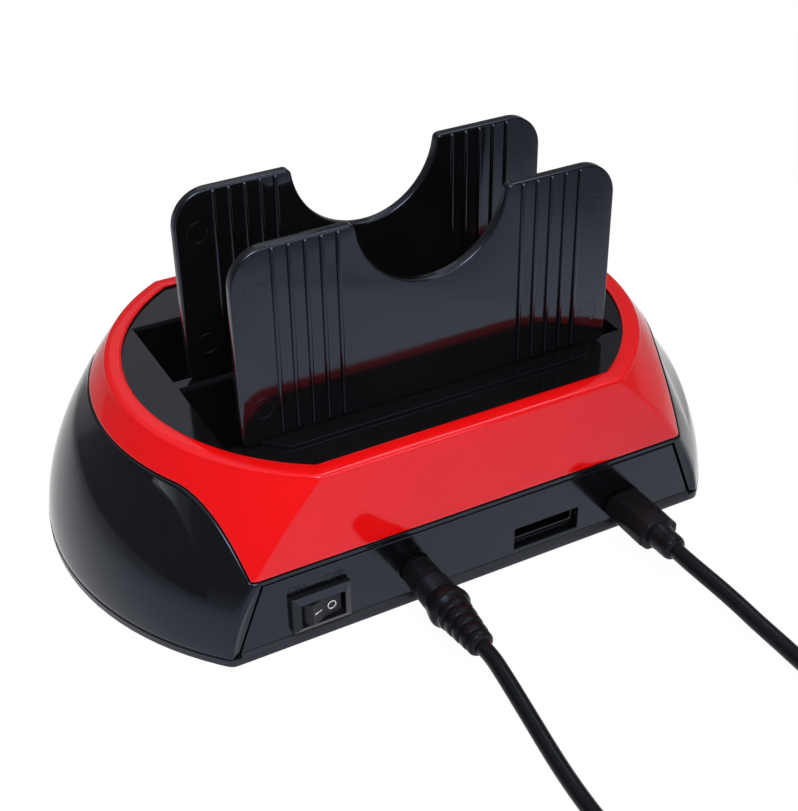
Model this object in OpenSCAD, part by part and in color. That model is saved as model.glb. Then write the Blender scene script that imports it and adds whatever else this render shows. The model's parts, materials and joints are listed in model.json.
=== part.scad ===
// Two-bay hard drive docking station: domed housing with a bright cover ring,
// two drive wells, two lift-out backrests, a connector panel and two leads.
// Millimetres, +Z up, origin on the floor below the middle of the housing.
// The connector panel faces -Y.

/* [Housing] */
// Half length of the base, out to the end arcs
base_end_x = 84.6; // [82:0.1:92]
// Half length of the base's straight edges
base_corner_x = 63; // [60:0.5:66]
// Half depth of the base
base_edge_y = 52.2; // [51.5:0.1:55]
// Half length of the cover's top crease, out to the end arcs
crease_end_x = 66.4; // [65.5:0.1:72]
// Half length of the top crease's straight edges
crease_corner_x = 38.8; // [36:0.2:44]
// Half depth of the top crease
crease_edge_y = 49.3; // [48.8:0.1:50.5]
// Height of the deck above the floor
deck_z = 41; // [40:0.5:48]
// Power of the side profile between base and crease
dome_power = 1.8; // [1.5:0.1:2.2]
// Radius of the four upright corners
corner_r = 3; // [2.5:0.5:4.5]
// Wall of the moulded shells
wall = 2.2; // [2:0.1:2.6]
// Open gap along every parting line
seam = 0.3; // [0.2:0.05:0.4]
// Height of the feet below the tray
foot_h = 0.3; // [0.2:0.1:1]
// Top of the tray's outer edge, where the body starts
seam_z = 2.2; // [2.1:0.1:2.7]

/* [Cover and scoops] */
// Lower edge of the cover along the ends
cover_side_z = 35.3; // [33:0.1:36.5]
// Lower edge of the cover over the panels
cover_corner_z = 20.7; // [20:0.1:23]
// Width of the cover's top rim
rim_w = 4.4; // [3.6:0.1:4.8]
// Height of the rim above the deck
rim_h = 0.9; // [0.7:0.1:1.4]
// Depth of the side scoops
scoop_d = 1.7; // [1:0.1:2.4]
// Height of the scoop's ridge at the middle of the end
ridge_z = 25.7; // [24.5:0.1:27]
// Rise of that ridge from the middle to the front corner
ridge_rise = 11.6; // [10:0.1:13]

/* [Deck and drive wells] */
// Width of a drive well
slot_w = 104; // [103:0.5:105]
// Depth of a drive well, front to rear
slot_d = 26.6; // [26.4:0.1:27]
// Land between the two wells
land = 4.6; // [4.4:0.1:5.4]
// Wall of a well
well_wall = 1.6; // [1.2:0.1:2]
// Height of the drive's seat at the bottom of a well
seat_z = 13; // [12.5:0.1:14]
// Bevel along the long edges of a well's mouth
mouth_bevel = 0.8; // [0.4:0.1:1.2]
// Raised step of the deck in front of the rear backrest
step_h = 1.3; // [0.8:0.1:2]
// Depth of that step
step_d = 4.8; // [4:0.2:6]

/* [Backrests] */
// Width of a backrest
rest_w = 94.4; // [90:0.2:96]
// Height of a backrest above the deck
rest_h = 47.3; // [44:0.1:52]
// Thickness of a backrest
rest_t = 2.6; // [2.2:0.1:3]
// Radius of its outer top corners
rest_r = 8.5; // [6:0.5:10]
// Radius of its finger notch
notch_r = 18.7; // [16:0.1:19.5]
// Height of the notch's centre above the top edge
notch_up = 1.1; // [0:0.1:2]
// Ribs on each half of a backrest
rib_n = 5; // [3:1:6]
// Distance between ribs
rib_pitch = 3.75; // [3:0.05:4]
// Distance of the innermost rib from the middle
rib_x = 22.6; // [21.5:0.1:23]
// Sideways place of the backrests
rest_x = -1.5; // [-2:0.1:2]
// Room round a backrest's tongues in the deck
tongue_gap = 0.3; // [0.25:0.05:0.4]

/* [Connector panel] */
// Top of the panel
panel_top = 19.2; // [18.6:0.1:19.6]
// Thickness of the panel
panel_t = 1.8; // [1.4:0.1:2]
// Centre of the switch, across
switch_x = -41.3; // [-42:0.1:-36]
// Centre of the switch, up
switch_z = 9; // [8.6:0.1:9.4]
// Centre of the power socket, across
dc_x = -17; // [-20:0.5:-14]
// Centre of the power socket, up
dc_z = 9.3; // [9:0.1:10]
// Centre of the eSATA socket, across
esata_x = 18.5; // [16:0.5:22]
// Centre of the USB socket, across
usb_x = 40.5; // [38:0.5:43]

/* [Board] */
// Underside of the main board
board_z = 2.8; // [2.6:0.1:3.2]
// Thickness of the main board
board_t = 1.6; // [1.2:0.1:1.6]
// Half width of the main board
board_x = 50; // [48:0.5:52]
// Half depth of the main board
board_y = 46.5; // [45:0.5:47]

/* [Leads] */
// Diameter of the power cord
power_d = 3.7; // [3.4:0.1:4]
// Turns of the power cord's coil
power_turns = 8; // [5:1:8]
// Distance of the power adapter from the middle of the housing, front to rear
adapter_out = 200; // [196:1:212]
// Diameter of the USB cord
usb_d = 4; // [3.7:0.1:4.2]
// Turns of the USB cord's coil
usb_turns = 6.5; // [3.5:1:6.5]

/* [Hidden] */
$fn = 48;
eps = 0.01;

// Colours as the object shows them
c_red = [0.90, 0.06, 0.06];
c_black = [0.05, 0.05, 0.06];
c_panel = [0.17, 0.18, 0.20];
c_cord = [0.06, 0.06, 0.07];
c_steel = [0.75, 0.76, 0.78];
c_white = [0.92, 0.92, 0.90];

// Housing outline at height z: straight long edges, an arc at each end.
// Every size falls from its base value to its crease value along one curve.
function fall(z) = 1 - pow(max(0, min(z, deck_z)) / deck_z, dome_power);
function between(top, base, z) = top + (base - top) * fall(z);
function end_x(z) = between(crease_end_x, base_end_x, z);
function corner_x(z) = between(crease_corner_x, base_corner_x, z);
function edge_y(z) = between(crease_edge_y, base_edge_y, z);
function arc_r(z) =
    let (across = end_x(z) - corner_x(z), along = edge_y(z))
    (across * across + along * along) / (2 * across);
function arc_cx(z) = end_x(z) - arc_r(z);

// Columns run up the housing's skin. A quarter has columns on its straight edge,
// round its corner (share 0 to 1) and along its end arc (share 1 to 0).
straight = 0;
round_corner = 1;
end_arc = 2;
arc_n = 14;
corner_n = 4;
panel_inset = 1.4;
panel_step = 0.4;
corner_least = 0.4;
quarter = concat(
    [[straight, panel_step], [straight, 0]],
    [for (k = [0:corner_n - 1]) [round_corner, k / (corner_n - 1)]],
    [for (k = [arc_n - 1:-1:0]) [end_arc, (k + 0.5) / arc_n]]
);
function corner_centre(z, inset) =
    let (r = max(corner_r - inset, corner_least), big = arc_r(z) - inset - r)
    let (y = edge_y(z) - inset - r)
    [arc_cx(z) + sqrt(big * big - y * y), y, r];
function panel_edge_x(z) = min(corner_x(z) - panel_inset, corner_centre(z, 0)[0] - panel_step / 2);
// A quarter's column at height z, moved inward by inset
function column_at(c, z, inset) =
    let (f = corner_centre(z, inset), turn = atan2(f[1], f[0] - arc_cx(z)))
    c[0] == straight ? [min(panel_edge_x(z), f[0] - panel_step / 2) - c[1], edge_y(z) - inset]
    : c[0] == round_corner ?
        let (a = 90 + (turn - 90) * c[1]) [f[0] + f[2] * cos(a), f[1] + f[2] * sin(a)]
    : let (r = arc_r(z) - inset, a = turn * c[1]) [arc_cx(z) + r * cos(a), r * sin(a)];

// All columns, anticlockwise from the middle of the rear edge: [column, x sign, y sign]
q_n = len(quarter);
columns = [
    for (q = [0:3]) for (i = [0:q_n - 1])
        let (forward = q == 0 || q == 2)
        [quarter[forward ? i : q_n - 1 - i], q < 2 ? 1 : -1, q == 0 || q == 3 ? -1 : 1]
];
function skin(c, z, inset) =
    let (p = column_at(c[0], z, inset)) [c[1] * p[0], c[2] * p[1]];
// Share of the end arc from the middle (0) to a corner (1), and the same with the rear negative
function share(c) = c[0][0] == end_arc ? c[0][1] : 1;
function signed_share(c) = c[2] * share(c);
function outline(z, inset) = [for (c = columns) skin(c, z, inset)];

// A ring of closed profiles, one for each column, joined into one solid
module ring_loft(profiles) {
    n = len(profiles);
    m = len(profiles[0]);
    points = [for (p = profiles) for (v = p) v];
    faces = [
        for (i = [0:n - 1]) for (k = [0:m - 1])
            let (j = (i + 1) % n, l = (k + 1) % m)
            for (t = [[i * m + k, i * m + l, j * m + l], [i * m + k, j * m + l, j * m + k]]) t
    ];
    polyhedron(points = points, faces = faces, convexity = 10);
}
function on_skin(c, z, inset) = let (p = skin(c, min(z, deck_z), inset)) [p[0], p[1], z];

// The cover's lower edge: level along the ends, falling to the corners
cover_bend = 0.5;
cover_power = 1.75;
function cover_low(c) =
    let (s = max(0, (share(c) - cover_bend) / (1 - cover_bend)))
    cover_side_z - (cover_side_z - cover_corner_z) * pow(s, cover_power);

// The scoop on each end: a ridge that climbs to the front, a valley nearer the cover.
// The facet above the valley grows towards the rear corner.
facet_least = 0.9;
facet_most = 10.6;
facet_power = 1.25;
facet_from = 0.28;
facet_to = 0.91;
scoop_ends = [0.25, 0.52];
scoop_slope = 0.15;
lip_w = 2;
function facet_h(t) =
    facet_least + facet_most * pow(max(0, (-t - facet_from) / (facet_to - facet_from)), facet_power);
function smooth(a, b, x) = let (s = max(0, min(1, (x - a) / (b - a)))) s * s * (3 - 2 * s);
function valley_z(c) = max(seam_z + lip_w, cover_low(c) - facet_h(signed_share(c)));
function ridge_line(c) =
    max(seam_z + lip_w / 2, min(ridge_z + ridge_rise * signed_share(c), valley_z(c) - lip_w / 2));
// The scoop is shallow where ridge and valley draw together, and runs out towards the front
function scoop_depth(c) =
    c[0][0] != end_arc ? 0
    : min(scoop_d, scoop_slope * (valley_z(c) - ridge_line(c) - lip_w / 2))
        * (1 - smooth(scoop_ends[0], scoop_ends[1], signed_share(c)));

// Body: skin from the tray up to the cover, with a tongue behind the cover's edge
side_rows = 5;
scoop_rows = 3;
facet_rows = 4;
tongue_in = 1.3;
tongue_up = 2;
tongue_t = 0.9;
function is_window(c) = c[0][0] == straight && c[0][1] > 0;
function body_low(c) = is_window(c) ? panel_top + seam : seam_z + seam / 2;
function blend(a, b, k, n) = a + (b - a) * k / n;
function body_profile(c) =
    let (low = body_low(c), high = cover_low(c) - seam / 2, d = scoop_depth(c))
    let (flat = c[0][0] != end_arc)
    let (ridge = flat ? blend(low, high, 1, 3) : ridge_line(c))
    let (valley = flat ? blend(low, high, 2, 3) : valley_z(c))
    concat(
        [for (k = [0:side_rows]) on_skin(c, blend(low, ridge, k, side_rows), 0)],
        [for (k = [1:scoop_rows])
            let (s = k / scoop_rows)
            on_skin(c, blend(ridge, valley, k, scoop_rows), d * (1 - (1 - s) * (1 - s)))],
        [for (k = [1:facet_rows]) on_skin(c, blend(valley, high, k, facet_rows), d * (1 - k / facet_rows))],
        [
            on_skin(c, high, tongue_in),
            on_skin(c, high + tongue_up, tongue_in),
            on_skin(c, high + tongue_up, tongue_in + tongue_t),
            on_skin(c, valley, wall + d),
            on_skin(c, ridge, wall + d),
            on_skin(c, low, wall)
        ]
    );

// Cover: skin from its lower edge to the crease, then the rim and the inside
cover_rows = 6;
lap_up = tongue_up + seam;
function cover_profile(c) =
    let (low = cover_low(c) + seam / 2, lap = low + lap_up)
    concat(
        [for (k = [0:cover_rows]) on_skin(c, blend(low, deck_z, k, cover_rows), 0)],
        [
            on_skin(c, deck_z + rim_h * 0.55, 0.5),
            on_skin(c, deck_z + rim_h * 0.9, rim_w * 0.35),
            on_skin(c, deck_z + rim_h, rim_w - 0.6),
            on_skin(c, deck_z + rim_h * 0.7, rim_w),
            on_skin(c, deck_z + rim_seat, rim_w),
            on_skin(c, deck_z + rim_seat, wall),
            on_skin(c, deck_z - deck_t, wall),
            on_skin(c, blend(lap, deck_z - deck_t, 1, 2), wall),
            on_skin(c, lap, wall),
            on_skin(c, lap, tongue_in - seam),
            on_skin(c, low, tongue_in - seam)
        ]
    );

// Deck
deck_t = 2;
rim_seat = 0.06;
deck_inset = wall + seam;
slot_y = (slot_d + land) / 2;
well_floor_t = 1.6;
boss_x = 58.5;
boss_y = 12;
boss_d = 6.4;
pillar_d = 7.2;
pillar_z = 14;
pilot_d = 2.6;
pilot_l = 12;
tongue_t2 = 1.4;
tongue_w = 26;
tongue_x = 24;
tongue_l = 9;
rest_gap = 0.4;
step_out = 43.2;
// Middle plane of a backrest in front of a well
function rest_y(side) = side * slot_y - slot_d / 2 - rest_gap - rest_t / 2;
socket_y = rest_y(-1);
socket_wall = 1.2;

// Tray and feet
tray_floor_t = 1.2;
tray_rim_t = 1.2;
rim_room = 0.6;
tray_rim_top = board_z + board_t - 0.2;
foot_x = 54;
foot_y = 36;
foot_d = 10;
foot_in = 0.8;
screw_head_d = 5;
screw_head_h = 2;
screw_head_z = 8;
screw_d = 2.5;
vent_n = 7;
vent_pitch = 5;
vent_w = 2;
vent_l = 26;

// Panels
panel_y = crease_edge_y + 2.1;
panel_back = panel_y - panel_t;
board_top = board_z + board_t;

// Sockets
bezel_w = 14.3;
bezel_h = 9.8;
bezel_t = 2.3;
bezel_wall = 1.4;
bezel_edge = 0.15;
bezel_lip = 0.6;
window_w = 10.7;
switch_w = 13.1;
switch_h = 8.2;
switch_deep = 11;
rocker_half = 5.75;
rocker_h = 5.7;
rocker_room = 0.3;
rocker_tilt = 12;
pivot_r = 1.2;
pivot_gap = 0.05;
pivot_in = 1.8;
blade_gap = 4;
esata_w = 17.2;
esata_h = 5.4;
esata_wall = 0.6;
esata_in = 0.2;
esata_up = 0.9;
usb_w = 7.9;
usb_h = 4.4;
usb_wall = 0.35;
usb_stand = 0.3;
socket_back = 0.6;
esata_z = board_top + esata_h / 2;
usb_z = board_top + usb_stand + usb_h / 2;
hole_gap = 0.3;
dc_r = 4.2;
dc_bore_r = 3.05;
dc_deep = 12;
barrel_r = 2.75;
barrel_bore_r = 1.3;
barrel_l = 9.6;
pin_r = 1;
led_x = 6;
led_z = 8;
led_r = 1.5;

// Receptacles in the wells, off the drive's middle as on the drive itself
sata_off = 20.68;
sata_w = 41.6;
sata_base_d = 6.2;
sata_post = 1.6;
sata_top = seat_z + 4;

// Leads: plug sizes
plug_gap = 0.3;
dc_grip_l = 29;
usb_grip_w = 10.8;
usb_grip_h = 7.4;
usb_grip_bevel = 2.5;
usb_grip_l = 14.5;
usb_relief_l = 6.6;
usb_relief_r = 3.2;
tie_t = 0.7;
tie_w = 8;
tie_gap = 0.25;
tube_sides = 10;
coil_sides = 6;
coil_rings = 24;
loop_gap = 0.5;

// Cord routes, from each plug to its coil and from the coil to the far end
power_end_y = panel_y + plug_gap + dc_grip_l;
power_c = [-48.7, -162];
power_r = 30.2;
power_low = tie_t + 0.1 + power_d / 2;
power_high = power_low + power_d + loop_gap;
power_in = [power_c[0] + power_r, power_c[1] + power_d];
power_out = [power_c[0] + power_r, power_c[1] - power_d];
adapter_c = [42, -adapter_out];
adapter_size = [58, 36, 26];
adapter_relief_l = 12;
adapter_exit = [adapter_c[0] - adapter_size[0] / 2 - adapter_relief_l, adapter_c[1], 8];
power_route = [
    [dc_x, -power_end_y, dc_z], [dc_x, -85, dc_z], [-17.2, -90, 8.6], [-17.4, -96, 7.2],
    [-17.6, -102, 5.7], [-17.8, -108, 4.2], [-18, -114, 3], [-18.2, -121, 2.2],
    [-18.4, -128, 2.1], [-18.5, -136, 2.2], [power_in[0], -146, power_low], [power_in[0], -152, power_low],
    [power_in[0], power_in[1], power_low]
];
power_tail_route = [
    [power_out[0], power_out[1], power_high], [power_out[0], -172, power_high], [-18.3, -178, 7],
    [-17.5, -184, 7.2], [-15.5, -189.5, 7.5], [-12, adapter_c[1] + 5.5, 7.8], [-7.5, adapter_c[1] + 1.8, 8],
    [-3, adapter_c[1] + 0.2, 8], adapter_exit
];
usb_end_y = panel_y + plug_gap + usb_grip_l + usb_relief_l;
usb_c = [75.6, -134];
usb_r = 30.9;
usb_low = tie_t + 0.1 + usb_d / 2;
usb_high = usb_low + usb_d + loop_gap;
usb_in = [usb_c[0] - usb_r, usb_c[1] + usb_d];
usb_out = [usb_c[0] + usb_r, usb_c[1] + usb_d];
usb_a_z = 4.4;
usb_a_y = -100;
usb_route = [
    [usb_x, -usb_end_y, usb_z], [usb_x, -77, usb_z], [41, -82, 6.5], [41.8, -87, 5.8],
    [42.8, -93, 4.7], [43.7, -99, 3.5], [44.5, -106, 2.6], [44.7, -113, 2.4],
    [usb_in[0], -119, usb_low], [usb_in[0], -124, usb_low], [usb_in[0], usb_in[1], usb_low]
];
usb_tail_route = [
    [usb_out[0], usb_out[1], usb_high], [usb_out[0], -125, usb_high], [usb_out[0], -118, 7.2],
    [usb_out[0], -112, 5.8], [usb_out[0], -106, usb_a_z], [usb_out[0], usb_a_y, usb_a_z]
];

// Direction of a route at one of its points
function unit(v) = v / norm(v);
function heading(p, i) =
    i == 0 ? unit(p[1] - p[0])
    : i == len(p) - 1 ? unit(p[i] - p[i - 1])
    : unit(unit(p[i] - p[i - 1]) + unit(p[i + 1] - p[i]));
// One closed tube of diameter d along the points p
module tube(p, d, sides) {
    n = len(p);
    rings = [
        for (i = [0:n - 1])
            let (h = heading(p, i), side = unit(cross(h, [0, 0, 1])), up = cross(side, h))
            for (k = [0:sides - 1])
                let (a = 360 * k / sides) p[i] + d / 2 * (cos(a) * side + sin(a) * up)
    ];
    walls = [
        for (i = [0:n - 2]) for (k = [0:sides - 1])
            let (a = i * sides + k, b = i * sides + (k + 1) % sides)
            for (t = [[a, b, b + sides], [a, b + sides, a + sides]]) t
    ];
    near = [for (k = [1:sides - 2]) [0, k + 1, k]];
    last = (n - 1) * sides;
    far = [for (k = [1:sides - 2]) [last, last + k, last + k + 1]];
    polyhedron(points = rings, faces = concat(walls, near, far), convexity = 10);
}
// A coil in two layers: in at the outside below, inward, up, outward again above.
// way is 1 for anticlockwise and -1 for clockwise, from the angle start.
function coil_route(c, r, d, turns, start, way, low, high) =
    let (n = round(turns * coil_rings), pitch = d + loop_gap)
    let (loops = [
        for (i = [0:n])
            let (s = i * turns / n, half = turns / 2, a = start + way * 360 * s)
            let (at = r - pitch * min(s, turns - s))
            [c[0] + at * cos(a), c[1] + at * sin(a), low + (high - low) * smooth(half - 0.25, half + 0.25, s)]
    ])
    let (last = start + way * 360 * turns)
    concat(
        [[loops[0][0], loops[0][1], low] - way * d * [-sin(start), cos(start), 0]],
        loops,
        [[loops[n][0], loops[n][1], high] + way * d * [-sin(last), cos(last), 0]]
    );
// Least gap of a coil to itself, between points at least half a turn apart
function least_gap(p, d) =
    min([for (i = [0:len(p) - 1]) for (j = [i + coil_rings / 2:len(p) - 1]) norm(p[i] - p[j])]) - d;
power_loops = coil_route(power_c, power_r, power_d, power_turns, 0, -1, power_low, power_high);
usb_loops = coil_route(usb_c, usb_r, usb_d, usb_turns, 180, 1, usb_low, usb_high);
echo(power_coil_gap = least_gap(power_loops, power_d), usb_coil_gap = least_gap(usb_loops, usb_d));

// Small shared shapes
module four(x, y) {
    for (sx = [-1, 1]) for (sy = [-1, 1]) translate([sx * x, sy * y, 0]) children();
}
module along_y(x, y, z) {
    translate([x, y, z]) rotate([90, 0, 0]) children();
}
// A box given by its middle in x and z, running from y0 to y1
module slab(x, z, w, h, y0, y1) {
    translate([x - w / 2, y0, z - h / 2]) cube([w, y1 - y0, h]);
}
// A block standing on the origin
module upright(w, d, h) {
    translate([-w / 2, -d / 2, 0]) cube([w, d, h]);
}
// A rectangular tube along Y, closed at its inner end
module socket(x, z, w, h, t, y0, y1) {
    difference() {
        slab(x, z, w, h, y0, y1);
        slab(x, z, w - 2 * t, h - 2 * t, y0 - eps, y1 - socket_back);
    }
}
// A bar with bevelled long edges and pinched ends, for overmoulded plugs
module bar(w, h, l, bevel, pinch) {
    hull() {
        for (s = [[0, pinch], [pinch, 0], [l - pinch, 0], [l, pinch]])
            along_y(0, s[0] > 0 ? eps - s[0] : 0, 0) linear_extrude(eps)
                bevelled(w - 2 * s[1], h - 2 * s[1], bevel);
    }
}
module bevelled(w, h, b) {
    polygon([
        [-w / 2 + b, -h / 2], [w / 2 - b, -h / 2], [w / 2, -h / 2 + b], [w / 2, h / 2 - b],
        [w / 2 - b, h / 2], [-w / 2 + b, h / 2], [-w / 2, h / 2 - b], [-w / 2, -h / 2 + b]
    ]);
}

module base_tray() {
    rim_in = base_edge_y - panel_back + seam + rim_room;
    color(c_black) difference() {
        union() {
            difference() {
                translate([0, 0, foot_h]) linear_extrude(seam_z - foot_h) polygon(outline(foot_h, 0));
                translate([0, 0, foot_h + tray_floor_t]) linear_extrude(seam_z)
                    polygon(outline(foot_h, rim_in + tray_rim_t));
            }
            translate([0, 0, seam_z - eps]) linear_extrude(tray_rim_top - seam_z + eps) difference() {
                polygon(outline(foot_h, rim_in));
                polygon(outline(foot_h, rim_in + tray_rim_t));
            }
            four(boss_x, boss_y) translate([0, 0, foot_h]) cylinder(h = pillar_z - foot_h, d = pillar_d);
            at_board_screws() translate([0, 0, foot_h]) cylinder(h = board_z - foot_h, d = 5);
        }
        four(boss_x, boss_y) {
            translate([0, 0, -eps])
                cylinder(h = screw_head_z + screw_head_h, d = screw_head_d + 2 * hole_gap);
            cylinder(h = pillar_z + eps, d = screw_d + 2 * pivot_gap);
        }
        four(foot_x, foot_y)
            translate([0, 0, -eps]) cylinder(h = foot_h + foot_in, d = foot_d + 2 * pivot_gap);
        at_board_screws()
            translate([0, 0, foot_h + foot_in]) cylinder(h = board_z, d = board_screw_d + 2 * pivot_gap);
        for (i = [0:vent_n - 1])
            translate([(i - (vent_n - 1) / 2) * vent_pitch - vent_w / 2, -vent_l / 2, -eps])
                cube([vent_w, vent_l, seam_z]);
    }
}

module body_shell() {
    color(c_black) ring_loft([for (c = columns) body_profile(c)]);
}

module red_cover() {
    color(c_red) ring_loft([for (c = columns) cover_profile(c)]);
}

// Section of a well across the slot, with its bevelled mouth
module well_section(bottom) {
    polygon([
        [-slot_d / 2, bottom], [slot_d / 2, bottom], [slot_d / 2, deck_z - mouth_bevel],
        [slot_d / 2 + mouth_bevel, deck_z + eps], [-slot_d / 2 - mouth_bevel, deck_z + eps],
        [-slot_d / 2, deck_z - mouth_bevel]
    ]);
}

module deck() {
    block_d = 2 * slot_d + land + 2 * well_wall;
    block_w = slot_w + 2 * well_wall;
    block_low = seat_z - well_floor_t;
    socket_out = tongue_x + tongue_w / 2 + socket_wall + tongue_gap;
    color(c_black) difference() {
        union() {
            translate([0, 0, deck_z - deck_t]) linear_extrude(deck_t) polygon(outline(deck_z, deck_inset));
            translate([-block_w / 2, -block_d / 2, block_low])
                cube([block_w, block_d, deck_z - deck_t / 2 - block_low]);
            translate([rest_x - socket_out, socket_y - rest_t, deck_z - tongue_l - 2])
                cube([2 * socket_out, rest_t * 1.5 + rest_gap + well_wall, tongue_l + 1]);
            four(boss_x, boss_y) translate([0, 0, pillar_z + seam])
                cylinder(h = deck_z - deck_t / 2 - pillar_z - seam, d = boss_d);
            translate([rest_x, socket_y - rest_t / 2 - rest_gap, deck_z - eps])
                linear_extrude(step_h + eps) polygon([
                    [-step_out, 0], [-step_out + step_d, -step_d], [step_out - step_d, -step_d], [step_out, 0]
                ]);
        }
        for (side = [-1, 1]) {
            translate([0, side * slot_y, 0]) rotate([90, 0, 90])
                translate([0, 0, -slot_w / 2]) linear_extrude(slot_w) well_section(seat_z);
            translate([sata_off, side * slot_y, block_low - 1])
                upright(sata_w + 2 * hole_gap, sata_base_d + 2 * hole_gap, well_floor_t + 2);
            for (sx = [-1, 1])
                translate([rest_x + sx * tongue_x, rest_y(side), deck_z - tongue_l - tongue_gap])
                    upright(tongue_w + 2 * tongue_gap, tongue_t2 + 2 * tongue_gap, tongue_l + 2);
        }
        four(boss_x, boss_y) cylinder(h = pillar_z + pilot_l, d = pilot_d);
    }
}

// Outline of a backrest, from its bottom edge at the origin
module rest_outline() {
    foot_r = 2;
    lip_r = 1.5;
    notch_z = rest_h + notch_up;
    notch_x = sqrt(notch_r * notch_r - notch_up * notch_up);
    difference() {
        union() {
            translate([-rest_w / 2, foot_r]) square([rest_w, rest_h - foot_r - rest_r]);
            translate([-rest_w / 2 + foot_r, 0]) square([rest_w - 2 * foot_r, foot_r + eps]);
            translate([-rest_w / 2 + rest_r, rest_h - rest_r - eps])
                square([rest_w - 2 * rest_r, rest_r + eps]);
            for (s = [-1, 1]) {
                translate([s * (rest_w / 2 - foot_r), foot_r]) circle(r = foot_r);
                translate([s * (rest_w / 2 - rest_r), rest_h - rest_r]) circle(r = rest_r);
            }
        }
        translate([0, notch_z]) circle(r = notch_r, $fn = 96);
        for (s = [-1, 1]) difference() {
            translate([s * notch_x - (s > 0 ? 1 : lip_r), rest_h - lip_r]) square([lip_r + 1, lip_r + 1]);
            translate([s * (notch_x + lip_r), rest_h - lip_r]) circle(r = lip_r);
        }
    }
}

// One backrest: ribbed plate with two tongues that stand in the deck
module backrest(side) {
    rib_w = 1;
    rib_h = 0.7;
    mark_d = 5;
    mark_in = 0.15;
    y = rest_y(side);
    lift = deck_z + tongue_gap;
    color(c_black) translate([rest_x, 0, 0]) difference() {
        union() {
            along_y(0, y + rest_t / 2, lift) linear_extrude(rest_t) rest_outline();
            for (s = [-1, 1]) {
                translate([s * tongue_x, y, lift - tongue_l]) upright(tongue_w, tongue_t2, tongue_l + 2);
                for (k = [0:rib_n - 1])
                    translate([s * (rib_x + k * rib_pitch), y - (rest_t + rib_h) / 2, lift + step_h + 0.3])
                        upright(rib_w, rib_h + eps, rest_h - step_h - 0.6);
            }
        }
        for (s = [-1, 1]) for (z = [rest_h * 0.19, rest_h - 10])
            along_y(s * (rest_w / 2 - 5.3), y - rest_t / 2 + mark_in, lift + z) cylinder(h = 1, d = mark_d);
    }
}
module backrest_rear() { backrest(-1); }
module backrest_front() { backrest(1); }

// A panel plate in the body's window, facing the side (-1 rear, 1 front)
module panel_plate(side) {
    low = seam_z + pivot_gap;
    wide = panel_edge_x(low) - 2 * seam;
    narrow = panel_edge_x(panel_top + seam) - panel_step - 2 * seam;
    along_y(0, side < 0 ? -panel_back : panel_y, 0) linear_extrude(panel_t)
        polygon([[-wide, low], [wide, low], [narrow, panel_top], [-narrow, panel_top]]);
}
module rear_panel() {
    color(c_panel) difference() {
        panel_plate(-1);
        slab(switch_x, switch_z, switch_w + hole_gap, switch_h + hole_gap, -panel_y - 1, -panel_back + 1);
        slab(esata_x, esata_z, esata_w + 2 * hole_gap, esata_h + 2 * hole_gap, -panel_y - 1, -panel_back + 1);
        slab(usb_x, usb_z, usb_w + 2 * hole_gap, usb_h + 2 * hole_gap, -panel_y - 1, -panel_back + 1);
        along_y(dc_x, -panel_back + 1, dc_z) cylinder(h = panel_t + 2, r = dc_r + hole_gap);
    }
}
module front_panel() {
    color(c_panel) difference() {
        panel_plate(1);
        for (s = [-1, 1])
            along_y(s * led_x, panel_y + 1, led_z) cylinder(h = panel_t + 2, r = led_r + pivot_gap);
    }
}
module light_pipes() {
    color([0.85, 0.9, 0.95]) for (s = [-1, 1])
        along_y(s * led_x, panel_y + 0.2, led_z) cylinder(h = panel_t + 1.4, r = led_r);
}
module status_leds() {
    body_l = 3;
    front = panel_back - 1.6;
    color([0.3, 0.5, 0.9]) for (s = [-1, 1]) {
        along_y(s * led_x, front, led_z) cylinder(h = body_l, r = led_r);
        translate([s * led_x - 1, front - body_l, board_top]) cube([2, body_l - 1, led_z - board_top]);
    }
}

// Rocker switch: bevelled frame, hollow body, rocker on two pivot pins
pivot_y = -panel_y + pivot_in;
bezel_front = -panel_y - bezel_t;
module switch_bezel() {
    window_h = rocker_h + 2 * rocker_room;
    inside_w = 2 * (rocker_half + rocker_room);
    color(c_panel) difference() {
        union() {
            hull() {
                slab(switch_x, switch_z, bezel_w, bezel_h, -panel_y - bezel_wall, -panel_y);
                slab(switch_x, switch_z, window_w + 2 * bezel_edge, window_h + 2 * bezel_edge,
                    bezel_front, -panel_y);
            }
            slab(switch_x, switch_z, switch_w, switch_h, -panel_y - 0.3, -panel_y + switch_deep);
        }
        slab(switch_x, switch_z, window_w, window_h, bezel_front - 1, bezel_front + bezel_lip + eps);
        slab(switch_x, switch_z, inside_w, window_h, bezel_front + bezel_lip, -panel_y + switch_deep - 1.5);
        translate([switch_x, pivot_y, switch_z - switch_h / 2 - 1])
            cylinder(h = switch_h + 2, r = pivot_r + pivot_gap);
        for (s = [-1, 1])
            slab(switch_x + s * blade_gap / 2, switch_z, 1 + 2 * pivot_gap, 4 + 2 * pivot_gap,
                -panel_y + switch_deep - 2, -panel_y + switch_deep + 1);
    }
}
// The rocker's plan, about its pivot: two faces with a shallow valley between slanted ends,
// tilted with its right end pressed in
module switch_rocker() {
    crest = [3.9, -4];
    valley = -3.5;
    low = [5.4, -1.9];
    hub = [3, 1.6];
    color(c_black) translate([switch_x, pivot_y, switch_z]) {
        rotate([0, 0, rocker_tilt]) translate([0, 0, -rocker_h / 2]) linear_extrude(rocker_h)
            polygon([
                [-crest[0], crest[1]], [0, valley], crest, low, hub, [-hub[0], hub[1]], [-low[0], low[1]]
            ]);
        translate([0, 0, -switch_h / 2 + 0.2]) cylinder(h = switch_h - 0.4, r = pivot_r);
    }
}
module switch_terminals() {
    back = -panel_y + switch_deep;
    color(c_steel) for (s = [-1, 1])
        slab(switch_x + s * blade_gap / 2, switch_z, 1, 4, back - 1.5, back + 5);
}
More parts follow.
